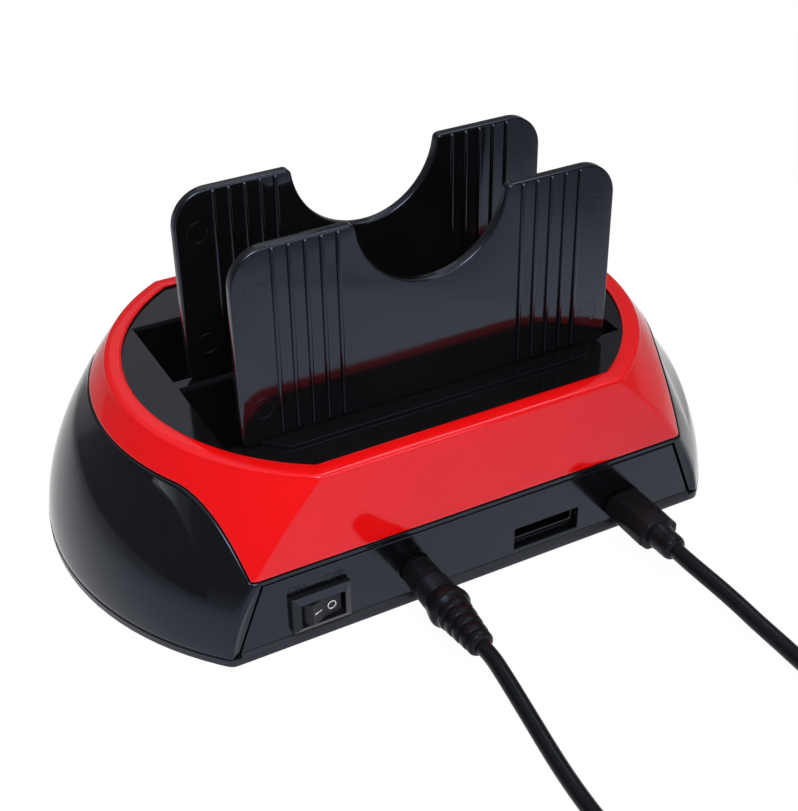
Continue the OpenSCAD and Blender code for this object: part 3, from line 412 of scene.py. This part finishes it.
def sizes(z):
    """Centre and radius of the end arcs, corner place and half width at a height."""
    f = 1 - (max(0.0, min(z, DECK_Z)) / DECK_Z) ** DOME_POWER
    end_x, corner_x, edge_y = (c + (b - c) * f for b, c in zip(BASE, CREASE))
    across = end_x - corner_x
    r = (across * across + edge_y * edge_y) / (2 * across)
    return end_x - r, r, corner_x, edge_y


def corner_centre(z, inset):
    """Centre and radius of the rounded corner at a height."""
    cx, r, _, edge_y = sizes(z)
    small = max(CORNER_R - inset, CORNER_LEAST)
    y = edge_y - inset - small
    return cx + math.sqrt((r - inset - small) ** 2 - y * y), y, small


def panel_edge_x(z):
    return min(sizes(z)[2] - PANEL_INSET, corner_centre(z, 0)[0] - PANEL_STEP / 2)


def skin(column, z, inset):
    """A point of the housing's skin on a column at a height, brought in by an inset."""
    kind, share, sx, sy = column
    level = min(z, DECK_Z)
    cx, r, _, edge_y = sizes(level)
    fx, fy, small = corner_centre(level, inset)
    panel_end = min(panel_edge_x(level), fx - PANEL_STEP / 2)
    turn_to = math.atan2(fy, fx - cx)
    if kind == "straight":
        x, y = panel_end - share, edge_y - inset
    elif kind == "corner":
        a = math.pi / 2 + (turn_to - math.pi / 2) * share
        x, y = fx + small * math.cos(a), fy + small * math.sin(a)
    else:
        a = turn_to * share
        x, y = cx + (r - inset) * math.cos(a), (r - inset) * math.sin(a)
    if kind != "arc" and level < PANEL_TOP:
        past = max(0.0, x - panel_end)
        y = min(y, PANEL_Y + FLUSH_GAP - inset + FLUSH_SLOPE * past)
    return sx * x, sy * y, z


def columns():
    """Columns round the housing: (kind, share of its stretch, side in X, side in Y)."""
    quarter = [("straight", PANEL_STEP), ("straight", 0.0)]
    quarter += [("corner", k / (CORNER_N - 1)) for k in range(CORNER_N)]
    quarter += [("arc", (k + 0.5) / ARC_N) for k in range(ARC_N - 1, -1, -1)]
    out = []
    for q, (sx, sy) in enumerate(((1, -1), (1, 1), (-1, 1), (-1, -1))):
        out += [(*c, sx, sy) for c in (quarter if q % 2 == 0 else reversed(quarter))]
    return out


def arc_share(c):
    return c[1] if c[0] == "arc" else 1.0


def cover_low(c):
    """Height of the parting line on a column."""
    s = max(0.0, (arc_share(c) - COVER_BEND) / (1 - COVER_BEND))
    return COVER_SIDE_Z - (COVER_SIDE_Z - COVER_CORNER_Z) * s ** COVER_POWER


def facet_h(t):
    grown = max(0.0, (-t - FACET_FROM) / (FACET_TO - FACET_FROM))
    return FACET_LEAST + FACET_MOST * grown ** FACET_POWER


def scoop_lines(c):
    """Ridge height, valley height and depth of the wing's scoop on a column."""
    t = c[3] * arc_share(c)
    valley = max(SEAM_Z + LIP_W, cover_low(c) - facet_h(t))
    ridge = max(SEAM_Z + LIP_W / 2, min(RIDGE_Z + RIDGE_RISE * t, valley - LIP_W / 2))
    depth = min(SCOOP_D, SCOOP_SLOPE * (valley - ridge - LIP_W / 2))
    return ridge, valley, depth * (1 - smooth_step(*SCOOP_ENDS, t))


TONGUE_IN, TONGUE_UP, TONGUE_T = 1.3, 2.0, 0.9
COLUMNS = columns()
SIDE_ROWS, SCOOP_ROWS, FACET_ROWS, COVER_ROWS = 14, 12, 10, 22
# Where the rows lie on a column that has no scoop, as shares of its height
PLAIN_RIDGE, PLAIN_VALLEY = 0.4, 0.7
# Rounded edges as (inset, height): the body's foot, its top in shares of the edge, the cover's foot
FOOT_EDGE = [(0.25, 0.0), (0.06, 0.1), (0.0, 0.3)]
TOP_EDGE, TOP_EDGE_H, TOP_EDGE_SHARE = [(0.05, 0.45), (0.18, 0.13), (0.42, 0.0)], 0.45, 0.3
COVER_EDGE = [(0.42, 0.0), (0.18, 0.05), (0.05, 0.2), (0.0, 0.45)]
RIDGE_EDGE, CREASE_EDGE, RIM_SEAT = 0.12, 0.35, 0.35
# The red rim's section as (inset, height over the deck)
RIM_CURVE = [
    (0.02, 0.0), (0.14, 0.3), (0.38, 0.52), (0.8, 0.66), (1.6, 0.79), (2.6, 0.87), (3.5, RIM_H),
    (3.95, 0.84), (4.25, 0.72), (RIM_W, 0.55), (RIM_W, RIM_SEAT), (WALL, RIM_SEAT),
]


def body_profile(c):
    """The body's section on a column: foot, side, scoop, facet, top, tongue and inner face."""
    kind, share = c[:2]
    low = PANEL_TOP + SEAM if kind == "straight" and share > 0 else SEAM_Z + SEAM / 2
    high = cover_low(c) - SEAM / 2
    if kind == "arc":
        ridge, valley, d = scoop_lines(c)
    else:
        ridge, valley, d = low + (high - low) * PLAIN_RIDGE, low + (high - low) * PLAIN_VALLEY, 0.0
    edge = min(TOP_EDGE_H, (high - valley) * TOP_EDGE_SHARE)
    rows = [(inset, low + up) for inset, up in FOOT_EDGE]
    rows += [(0.0, z) for z in spaced(rows[-1][1], ridge - RIDGE_EDGE, SIDE_ROWS)[1:]]
    for s in spaced(0, 1, SCOOP_ROWS)[1:]:
        rows.append((d * (1 - (1 - s) ** 2), ridge + (valley - ridge) * s))
    for s in spaced(0, 1, FACET_ROWS)[1:]:
        rows.append((d * (1 - s), valley + (high - edge - valley) * s))
    rows += [(inset, high - edge * down) for inset, down in TOP_EDGE]
    rows += [(TONGUE_IN, high), (TONGUE_IN, high + TONGUE_UP)]
    rows += [(TONGUE_IN + TONGUE_T, high + TONGUE_UP)]
    rows += [(WALL + d, valley), (WALL + d, ridge), (WALL, low)]
    return [skin(c, z, inset) for inset, z in rows]


def cover_profile(c):
    """The red cover's section on a column: foot, side, rim and inner face."""
    low = cover_low(c) + SEAM / 2
    lap = low + TONGUE_UP + SEAM
    under = DECK_Z - DECK_T
    rows = [(inset, low + up) for inset, up in COVER_EDGE]
    rows += [(0.0, z) for z in spaced(rows[-1][1], DECK_Z - CREASE_EDGE, COVER_ROWS)[1:]]
    rows += [(inset, DECK_Z + up) for inset, up in RIM_CURVE]
    rows += [(WALL, under), (WALL, (lap + under) / 2), (WALL, lap)]
    rows += [(TONGUE_IN - SEAM, lap), (TONGUE_IN - SEAM, low)]
    return [skin(c, z, inset) for inset, z in rows]


def shell(name, profile, node):
    """A closed shell of one section for each column, standing for a node."""
    rings = [profile(c) for c in COLUMNS]
    points = [p for ring in rings for p in ring]
    faces = ring_faces(len(rings), len(rings[0]))
    obj = piece(name, points, faces, NODE_BODY[node], NODE_SLOT[node], SHELL_SMOOTH)
    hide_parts(node)


shell("wing_body", body_profile, "body_shell")
shell("cover_ring", cover_profile, "red_cover")


# Backrests

SLOT_D, LAND, REST_GAP = 26.6, 4.6, 0.4
SLOT_Y = (SLOT_D + LAND) / 2
REST_W, REST_H, REST_T, REST_R, REST_LIFT, REST_X = 94.4, 47.3, 2.6, 8.5, 0.3, -1.5
REST_FOOT_R, REST_LIP_R, REST_EDGE_R = 2.0, 1.5, 0.5
NOTCH_R, NOTCH_UP = 18.7, 1.1
STEP_H = 1.3
RIB_N, RIB_PITCH, RIB_X, RIB_UP, RIB_DOWN = 5, 3.75, 22.6, 0.3, 0.35
RIB_W, RIB_H, RIB_POWER, RIB_ROOT = 1.0, 0.7, 0.7, 0.2
# A rib's ends, as (distance from the end, share of its height)
RIB_END = [(0.0, 0.3), (0.25, 0.85), (0.6, 1.0)]
TAB_X, TAB_W, TAB_T, TAB_DOWN, TAB_UP = 24, 26, 1.4, 9, 1
# Ejector pin marks: how far in from the plate's end, their heights, and their ring
PIN_IN, PIN_HEIGHTS = 5.3, (REST_H * 0.19, REST_H - 10)
PIN_R, PIN_LINE, PIN_FLAT, PIN_SIDES, PIN_SECTION = 2.5, 0.11, 0.8, 40, 6


def arc_points(cx, cz, r, a0, a1, n):
    turns = [math.radians(a) for a in spaced(a0, a1, n)]
    return [(cx + r * math.cos(a), cz + r * math.sin(a)) for a in turns]


def rest_outline():
    """Anticlockwise seen from the rear, from the bottom left corner."""
    foot, lip = REST_FOOT_R, REST_LIP_R
    w, h = REST_W / 2, REST_H
    reach = math.sqrt((NOTCH_R + lip) ** 2 - (NOTCH_UP + lip) ** 2)
    dip = math.degrees(math.atan2(NOTCH_UP + lip, reach))
    pts = arc_points(-w + foot, foot, foot, 180, 270, 6)
    pts += arc_points(w - foot, foot, foot, 270, 360, 6)
    pts += arc_points(w - REST_R, h - REST_R, REST_R, 0, 90, 16)
    pts += arc_points(reach, h - lip, lip, 90, 180 - dip, 8)
    pts += arc_points(0, h + NOTCH_UP, NOTCH_R, -dip, -180 + dip, 64)[1:-1]
    pts += arc_points(-reach, h - lip, lip, dip, 90, 8)
    pts += arc_points(-w + REST_R, h - REST_R, REST_R, 90, 180, 16)
    return pts


def outward(pts):
    """Unit normals of a closed anticlockwise outline, at its points."""
    p = np.array(pts)
    ahead = np.roll(p, -1, 0) - np.roll(p, 1, 0)
    n = np.c_[ahead[:, 1], -ahead[:, 0]]
    return n / np.linalg.norm(n, axis=1)[:, None]


def rounded_plate(pts, y0, y1, z0):
    """An outline in X and Z between two Y planes, its edges rounded."""
    p, n = np.array(pts), outward(pts)
    edge = quarter_round(REST_EDGE_R)
    rows = [(inset, y0 + d) for d, inset in edge] + [(inset, y1 - d) for d, inset in reversed(edge)]
    points, m = [], len(p)
    for inset, y in rows:
        points += [(x, y, z + z0) for x, z in p - n * inset]
    faces = []
    for k in range(len(rows) - 1):
        for i in range(m):
            j = (i + 1) % m
            faces.append((k * m + i, k * m + j, (k + 1) * m + j, (k + 1) * m + i))
    faces.append(tuple(reversed(range(m))))
    faces.append(tuple((len(rows) - 1) * m + i for i in range(m)))
    return points, faces


def rib(x, y, z0, z1):
    """A half-round bar up a plate's rear face, its ends run down to the face."""
    turns = np.linspace(0, math.pi, 9)
    section = [(RIB_W / 2 * math.cos(a), RIB_H * math.sin(a) ** RIB_POWER) for a in turns]
    rows = [(z0 + d, share) for d, share in RIB_END]
    rows += [(z1 - d, share) for d, share in reversed(RIB_END)]
    points = []
    for z, share in rows:
        points += [(x + sx, y - sy * share, z) for sx, sy in section]
        points += [(x - RIB_W / 2, y + RIB_ROOT, z), (x + RIB_W / 2, y + RIB_ROOT, z)]
    return points, tube_faces(len(rows), len(section) + 2)


def ring_mark(x, y, z):
    """The round mark an ejector pin leaves: a fine raised ring on the rear face."""
    points = []
    for a in round_turns(PIN_SIDES):
        for b in round_turns(PIN_SECTION):
            at = PIN_R + PIN_LINE * math.cos(b)
            out = PIN_LINE * math.sin(b) * PIN_FLAT
            points.append((x + at * math.cos(a), y + out, z + at * math.sin(a)))
    return points, ring_faces(PIN_SIDES, PIN_SECTION)


def backrest(side, node):
    """A plate with its two tabs, its ribs and its pin marks; side -1 is the rear well."""
    y = side * SLOT_Y - SLOT_D / 2 - REST_GAP - REST_T / 2
    low = DECK_Z + REST_LIFT
    rear = y - REST_T / 2
    rib_low, rib_high = low + STEP_H + RIB_UP, low + REST_H - RIB_DOWN
    parts = [rounded_plate(rest_outline(), rear, y + REST_T / 2, low)]
    for s in (-1, 1):
        parts.append(box_shape(s * TAB_X - TAB_W / 2, s * TAB_X + TAB_W / 2,
                               y - TAB_T / 2, y + TAB_T / 2, low - TAB_DOWN, low + TAB_UP))
        parts += [rib(s * (RIB_X + k * RIB_PITCH), rear, rib_low, rib_high) for k in range(RIB_N)]
        parts += [ring_mark(s * (REST_W / 2 - PIN_IN), rear, low + z) for z in PIN_HEIGHTS]
    points, faces = joined(parts)
    points = [(x + REST_X, y, z) for x, y, z in points]
    obj = piece(node + "_plate", points, faces, NODE_BODY[node], "black_gloss", PLATE_SMOOTH, PLATE)
    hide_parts(node)


backrest(-1, "backrest_rear")
backrest(1, "backrest_front")


# Pieces kept as in the CAD, with their edges rounded by these widths

for name, width in {
    "deck": 0.22, "base_tray": 0.3, "rear_panel": 0.18, "front_panel": 0.18, "switch_bezel": 0.22,
    "adapter_case": 0.8, "sata_receptacle_rear": 0.15, "sata_receptacle_front": 0.15,
    "power_coil_tie": 0.2, "usb_coil_tie": 0.2, "rubber_feet": 0.3, "switch_rocker": 0.25,
    "esata_shell": 0.12, "usb_a_shell": 0.1, "dc_jack": 0.2,
}.items():
    dressed(name, width)


# The tray's rim slopes up to both panels' feet. Its section is (out from the panel, height)

TRAY_LIP = [(0.82, 1.2), (0.82, 2.1), (0.76, 2.24), (0.6, 2.38), (0.12, 2.85), (0.05, 2.87), (0.05, 1.2)]
TRAY_LIP_X = 60.6


def tray_lip():
    parts = []
    for side in (-1, 1):
        ends = (-TRAY_LIP_X, TRAY_LIP_X)
        points = [(x, side * (PANEL_Y + out), z) for x in ends for out, z in TRAY_LIP]
        parts.append((points, tube_faces(2, len(TRAY_LIP))))
    return joined(parts)


# The lip wears a grey whose colour paints the glossy panel's reflected sheen
piece("tray_lip", *tray_lip(), "dock", "charcoal", SHELL_SMOOTH, LIP_PAINTED_SHEEN)


# The panel's edge round the power socket

SOCKET_RIM = [(3.4, 0), (3.4, 0.18), (3.5, 0.22), (4.7, 0.22), (4.8, 0.2), (4.8, 0)]
SOCKET_SINK = 0.2
socket_place = (DC_X, SOCKET_SINK - PANEL_Y, DC_Z)
piece("power_socket_rim", *lathe(SOCKET_RIM, socket_place, hollow=True), "dock", "charcoal")


# Plugs. Their profiles are (radius, along)

DC_SLEEVE = [(3.0, 0.0), (3.6, 0.1), (3.85, 0.4), (3.95, 3.0), (4.0, 6.4)]
DC_SWELL = [(4.5, 12.2), (4.8, 13.5), (5.1, 14.8), (5.1, 15.6), (4.95, 16.0), (4.6, 16.3)]
DC_TIP = [(3.15, 27.6), (3.1, 28.4), (2.8, 28.85), (2.0, DC_GRIP_L)]
FINE_N, FINE_POINTS, FINE_FROM, FINE_STEP = 7, 7, 6.9, 0.1
FINE_R, FINE_GROWTH, FINE_DEPTH = 4.06, 0.004, 0.11
BEND_N, BEND_FROM, BEND_PITCH, BEND_R, BEND_TAPER = 4, 17.0, 2.7, 4.3, 0.3
BEND_RING = [(-0.1, -0.3), (0.0, 0.0), (-0.1, 1.3), (-0.25, 1.6), (-0.7, 1.75), (-0.7, 2.25)]
GRIP_SOFT, RELIEF_IN, RELIEF_SIDES = 0.5, 1, 40


def dc_grip():
    """A sleeve, fine ridges, a swelling and the rings of the bend relief."""
    p = list(DC_SLEEVE)
    for k in range(FINE_N * FINE_POINTS):
        wave = FINE_DEPTH * math.cos(2 * math.pi * k / FINE_POINTS)
        p.append((FINE_R + FINE_GROWTH * k - wave, FINE_FROM + FINE_STEP * k))
    p += DC_SWELL
    for k in range(BEND_N):
        s, r = BEND_FROM + k * BEND_PITCH, BEND_R - BEND_TAPER * k
        p += [(r + out, s + along) for out, along in BEND_RING]
    p += DC_TIP
    return lathe(p, (DC_X, -PANEL_Y - PLUG_GAP, DC_Z))


grip = piece("power_plug_grip", *dc_grip(), "power_lead", "cord_black", DC_SMOOTH, GRIP)
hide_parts("dc_plug_grip")


def overmould(w, h, bevel, place, rows):
    """A grip along -Y with flat bevels and soft edges: rows of (along, inset)."""
    points = []
    for s, inset in rows:
        a, b, c = w / 2 - inset, h / 2 - inset, bevel
        corners = [(a, -b + c), (a, b - c), (a - c, b), (-a + c, b)]
        corners += [(-x, -z) for x, z in corners]
        for k, here in enumerate(corners):
            here = np.array(here)
            before = np.array(corners[k - 1]) - here
            after = np.array(corners[(k + 1) % len(corners)]) - here
            start = before / np.linalg.norm(before) * GRIP_SOFT
            stop = after / np.linalg.norm(after) * GRIP_SOFT
            for u in (0.0, 0.33, 0.67, 1.0):
                x, z = here + start * (1 - u) ** 2 + stop * u ** 2
                points.append((x + place[0], place[1] - s, z + place[2]))
    return points, tube_faces(len(rows), len(points) // len(rows))


def grip_rows(l, edge):
    """Rows of (along, inset) for a grip with both ends rounded."""
    end = quarter_round(edge)
    return end + [(l - s, inset) for s, inset in reversed(end)]


USB_GRIP_W, USB_GRIP_H, USB_GRIP_BEVEL, USB_GRIP_EDGE = 10.8, 7.4, 2.5, 0.6
USB_RELIEF = [(3.35, 0.0), (3.35, 2.2), (3.2, 2.5), (3.2, 5.0), (3.15, 6.4), (3.0, 7.0), (2.7, 7.4),
              (2.1, USB_RELIEF_L + RELIEF_IN)]
usb_place = (USB_X, -PANEL_Y - PLUG_GAP, USB_Z)
usb_relief_place = (USB_X, usb_place[1] - USB_GRIP_L + RELIEF_IN, USB_Z)
usb_grip = piece("usb_plug_overmould", *joined([
    overmould(USB_GRIP_W, USB_GRIP_H, USB_GRIP_BEVEL, usb_place, grip_rows(USB_GRIP_L, USB_GRIP_EDGE)),
    lathe(USB_RELIEF, usb_relief_place, RELIEF_SIDES),
]), "usb_lead", "cord_black", GRIP_SMOOTH, GRIP)
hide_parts("usb_plug_grip")

USB_A_RELIEF_L, USB_A_L = 10.0, 22.0
USB_A_W, USB_A_H, USB_A_BEVEL, USB_A_EDGE = 15.6, 8.0, 1.6, 0.9
USB_A_RELIEF = [(3.6, 0.0), (3.6, 2.0), (3.0, 2.2), (3.0, 3.2), (3.5, 3.4), (3.4, 6.0), (2.9, 6.2),
                (2.9, 7.2), (3.3, 7.4), (3.1, 10.6), (2.4, USB_A_RELIEF_L + RELIEF_IN)]
usb_a_place = (USB_OUT_X, USB_A_Y + USB_A_RELIEF_L + USB_A_L, USB_A_Z)
usb_a_relief_place = (USB_OUT_X, USB_A_Y + USB_A_RELIEF_L + RELIEF_IN, USB_A_Z)
a_grip = piece("usb_a_overmould", *joined([
    overmould(USB_A_W, USB_A_H, USB_A_BEVEL, usb_a_place, grip_rows(USB_A_L, USB_A_EDGE)),
    lathe(USB_A_RELIEF, usb_a_relief_place, RELIEF_SIDES),
]), "usb_lead", "cord_black", GRIP_SMOOTH, GRIP)
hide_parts("usb_a_grip")


# Marks on the rocker and over it

ROCKER_PIVOT, ROCKER_TILT = (-41.3, -49.6, 9.0), 12
VALLEY_OUT, CREST_X, CREST_OUT, FACE_L = 3.5, 3.9, 4.0, 3.93
MARK_T = 0.06
OFF_AT, OFF_R, OFF_HOLE_R, OFF_SIDES = 0.4, 1.1, 0.86, 32
ON_FROM, ON_TO, ON_HALF = 0.31, 0.85, 0.13
WORD_SIZE, WORD_RISE, WORD_OUT = 2.6, 0.04, 0.02


def rocker_face(side, u, v, out):
    """A point on the rocker's face: side -1 left or 1 right, u along it from its valley, v up."""
    tilt = math.radians(ROCKER_TILT)
    valley, crest = np.array([0, -VALLEY_OUT]), np.array([CREST_X * side, -CREST_OUT])
    along = crest - valley
    length = np.linalg.norm(along)
    along = along / length
    n = np.array([along[1], -along[0]]) * side
    p = valley + along * u * length + n * out
    x = p[0] * math.cos(tilt) - p[1] * math.sin(tilt)
    y = p[0] * math.sin(tilt) + p[1] * math.cos(tilt)
    return ROCKER_PIVOT[0] + x, ROCKER_PIVOT[1] + y, ROCKER_PIVOT[2] + v


def flat_mark(name, outline, inner, side):
    """A thin printed mark on the rocker from (u, v) points; inner makes it a ring."""
    loops = [outline] + ([inner] if inner else [])
    points, m = [], len(outline)
    for out in (0.0, MARK_T):
        for loop in loops:
            points += [rocker_face(side, u, v, out) for u, v in loop]
    if inner:
        faces = []
        for i in range(m):
            j = (i + 1) % m
            faces += [(i, j, m + j, m + i), (2 * m + i, 3 * m + i, 3 * m + j, 2 * m + j),
                      (i, 2 * m + i, 2 * m + j, j), (m + i, m + j, 3 * m + j, 3 * m + i)]
    else:
        faces = [tuple(range(m)), tuple(2 * m - 1 - i for i in range(m))]
        faces += [(i, m + i, m + (i + 1) % m, (i + 1) % m) for i in range(m)]
    piece(name, points, faces, "rocker", "white_plastic", look=MARK)


def off_circle(r):
    return [(OFF_AT + r / FACE_L * math.cos(a), r * math.sin(a)) for a in round_turns(OFF_SIDES)]


on_line = [(ON_FROM, -ON_HALF), (ON_TO, -ON_HALF), (ON_TO, ON_HALF), (ON_FROM, ON_HALF)]
flat_mark("mark_off", off_circle(OFF_R), off_circle(OFF_HOLE_R), 1)
flat_mark("mark_on", on_line, None, -1)


def word(name, text, x, z):
    """A word raised a little from the connector panel."""
    data = bpy.data.curves.new(name, "FONT")
    data.body = text
    data.size = WORD_SIZE * MM
    data.extrude = WORD_RISE * MM
    data.align_x = "CENTER"
    made = bpy.data.objects.new(name + "_font", data)
    scene.collection.objects.link(made)
    seen = made.evaluated_get(bpy.context.evaluated_depsgraph_get())
    mesh = bpy.data.meshes.new_from_object(seen)
    bpy.data.objects.remove(made)
    place = Vector((x, -PANEL_Y - WORD_OUT, z)) * MM
    mesh.transform(Matrix.Translation(place) @ TO_REAR.to_4x4())
    mesh_piece(name, mesh, "dock", "charcoal", look=DARK_MARK)


word("word_on", "ON", -46.5, 14.6)
word("word_off", "OFF", -37.4, 14.8)


# Cords and the pieces at their far ends

def named(*names):
    return [bpy.data.objects[n] for n in names]


POWER_AWAY = ("power_coil_tie_dressed", "adapter_case_dressed", "adapter_prongs")
USB_AWAY = ("usb_coil_tie_dressed", "usb_a_overmould", "usb_a_shell_dressed", "usb_a_tongue")


# The photograph mirrors no coil, so the cords and what lies past the picture aren't mirrored

for put_away in named("power_lead_cord", "usb_lead_cord", *POWER_AWAY, *USB_AWAY):
    put_away.visible_glossy = False


# Floor and light

FLOOR_TONE, FLOOR_GLOW, GLOW_SHARE = 0.62, 1.05, 0.92
# Reflections show the floor glowing white only in a pool round the object: a painted pool of light that
# fades further out
POOL_CENTRE, POOL_NEAR, POOL_FAR = (0.01, -0.06, 0), 0.09, 0.26
FLOOR_HALF, FLOOR_Z, WALL_H, WALL_SIDES = 6.0, -0.0002, 1.2, 48


def floor_material():
    """Nearly white where the camera sees it, with a share left that takes the object's shadow."""
    m = bpy.data.materials.new("floor")
    m.use_nodes = True
    nodes, links = m.node_tree.nodes, m.node_tree.links
    nodes.clear()
    out = nodes.new("ShaderNodeOutputMaterial")
    rough = nodes.new("ShaderNodeBsdfDiffuse")
    rough.inputs["Color"].default_value = (FLOOR_TONE, FLOOR_TONE, FLOOR_TONE, 1)
    glow = nodes.new("ShaderNodeEmission")
    glow.inputs["Strength"].default_value = FLOOR_GLOW
    mix = nodes.new("ShaderNodeMixShader")
    path = nodes.new("ShaderNodeLightPath")
    place = nodes.new("ShaderNodeNewGeometry")
    away = nodes.new("ShaderNodeVectorMath")
    away.operation = "DISTANCE"
    away.inputs[1].default_value = POOL_CENTRE
    pool = nodes.new("ShaderNodeMapRange")
    pool.interpolation_type = "SMOOTHSTEP"
    pool.inputs["From Min"].default_value = POOL_NEAR
    pool.inputs["From Max"].default_value = POOL_FAR
    pool.inputs["To Min"].default_value = 1.0
    pool.inputs["To Max"].default_value = 0.0
    links.new(place.outputs["Position"], away.inputs[0])
    links.new(away.outputs["Value"], pool.inputs["Value"])

    def math_node(kind, a, b):
        n = nodes.new("ShaderNodeMath")
        n.operation = kind
        n.use_clamp = True
        for socket, v in zip(n.inputs, (a, b)):
            if isinstance(v, float):
                socket.default_value = v
            else:
                links.new(v, socket)
        return n.outputs[0]

    # Glossy and clear rays see the floor's glow only inside the pool: a painted pool of light
    mirrored = math_node("ADD", path.outputs["Is Glossy Ray"], path.outputs["Is Transmission Ray"])
    near = math_node("MULTIPLY", mirrored, pool.outputs["Result"])
    seen = math_node("ADD", path.outputs["Is Camera Ray"], near)
    links.new(math_node("MULTIPLY", seen, GLOW_SHARE), mix.inputs["Fac"])
    links.new(rough.outputs[0], mix.inputs[1])
    links.new(glow.outputs[0], mix.inputs[2])
    links.new(mix.outputs[0], out.inputs["Surface"])
    return m


PAPER = floor_material()


def staged(name, points, faces):
    mesh = bpy.data.meshes.new(name)
    mesh.from_pydata(points, [], faces)
    mesh.materials.append(PAPER)
    obj = bpy.data.objects.new(name, mesh)
    scene.collection.objects.link(obj)


floor_corners = [(-1, -1), (1, -1), (1, 1), (-1, 1)]
floor_points = [(x * FLOOR_HALF, y * FLOOR_HALF, FLOOR_Z) for x, y in floor_corners]
staged("floor", floor_points, [(0, 1, 2, 3)])
wall_plan = [(FLOOR_HALF * math.cos(a), FLOOR_HALF * math.sin(a)) for a in round_turns(WALL_SIDES)]
wall_points = [(x, y, z) for x, y in wall_plan for z in (FLOOR_Z, WALL_H)]
staged("backdrop", wall_points, ring_faces(WALL_SIDES, 2, True, False))

# The sky's brightness by how far up a direction points
SKY_LEVELS = ((0.0, 0.05), (0.09, 0.08), (0.2, 0.2), (0.5, 0.2), (1.0, 0.1))
SKY_TINT = (0.92, 0.95, 1.0)

world = bpy.data.worlds.new("studio")
world.use_nodes = True
scene.world = world
wn, wl = world.node_tree.nodes, world.node_tree.links
wn.clear()
w_out = wn.new("ShaderNodeOutputWorld")
w_light = wn.new("ShaderNodeBackground")
w_place = wn.new("ShaderNodeTexCoord")
w_split = wn.new("ShaderNodeSeparateXYZ")
w_ramp = wn.new("ShaderNodeValToRGB")
w_stops = w_ramp.color_ramp.elements
for at, level in SKY_LEVELS:
    stop = w_stops.new(at) if 0 < at < 1 else w_stops[int(at)]
    stop.color = (*(level * c for c in SKY_TINT), 1)
wl.new(w_place.outputs["Generated"], w_split.inputs[0])
wl.new(w_split.outputs["Z"], w_ramp.inputs["Fac"])
wl.new(w_ramp.outputs["Color"], w_light.inputs["Color"])
wl.new(w_light.outputs[0], w_out.inputs["Surface"])


def softbox(name, place, aim, size, power, spread=180):
    """A square lamp of a size in metres, a power in watts and a spread in degrees."""
    data = bpy.data.lights.new(name, "AREA")
    data.shape = "RECTANGLE"
    data.size = data.size_y = size
    data.energy = power
    data.spread = math.radians(spread)
    obj = bpy.data.objects.new(name, data)
    obj.location = place
    obj.rotation_euler = (Vector(aim) - Vector(place)).to_track_quat("-Z", "Y").to_euler()
    scene.collection.objects.link(obj)


softbox("key", (-0.126, -0.268, 0.304), aim=(-0.05, -0.045, 0.03), size=0.22, power=0.112, spread=38)
softbox("top", (0.35, 0.1, 0.9), aim=(0, 0, 0.03), size=0.3, power=1.0)
softbox("fill", (0.204, -0.784, 0.217), aim=(-0.04, -0.05, 0.014), size=0.3, power=0.85)
softbox("card", (0.24, 0.97, 0.72), aim=(0, 0, 0.03), size=0.4, power=0.16)
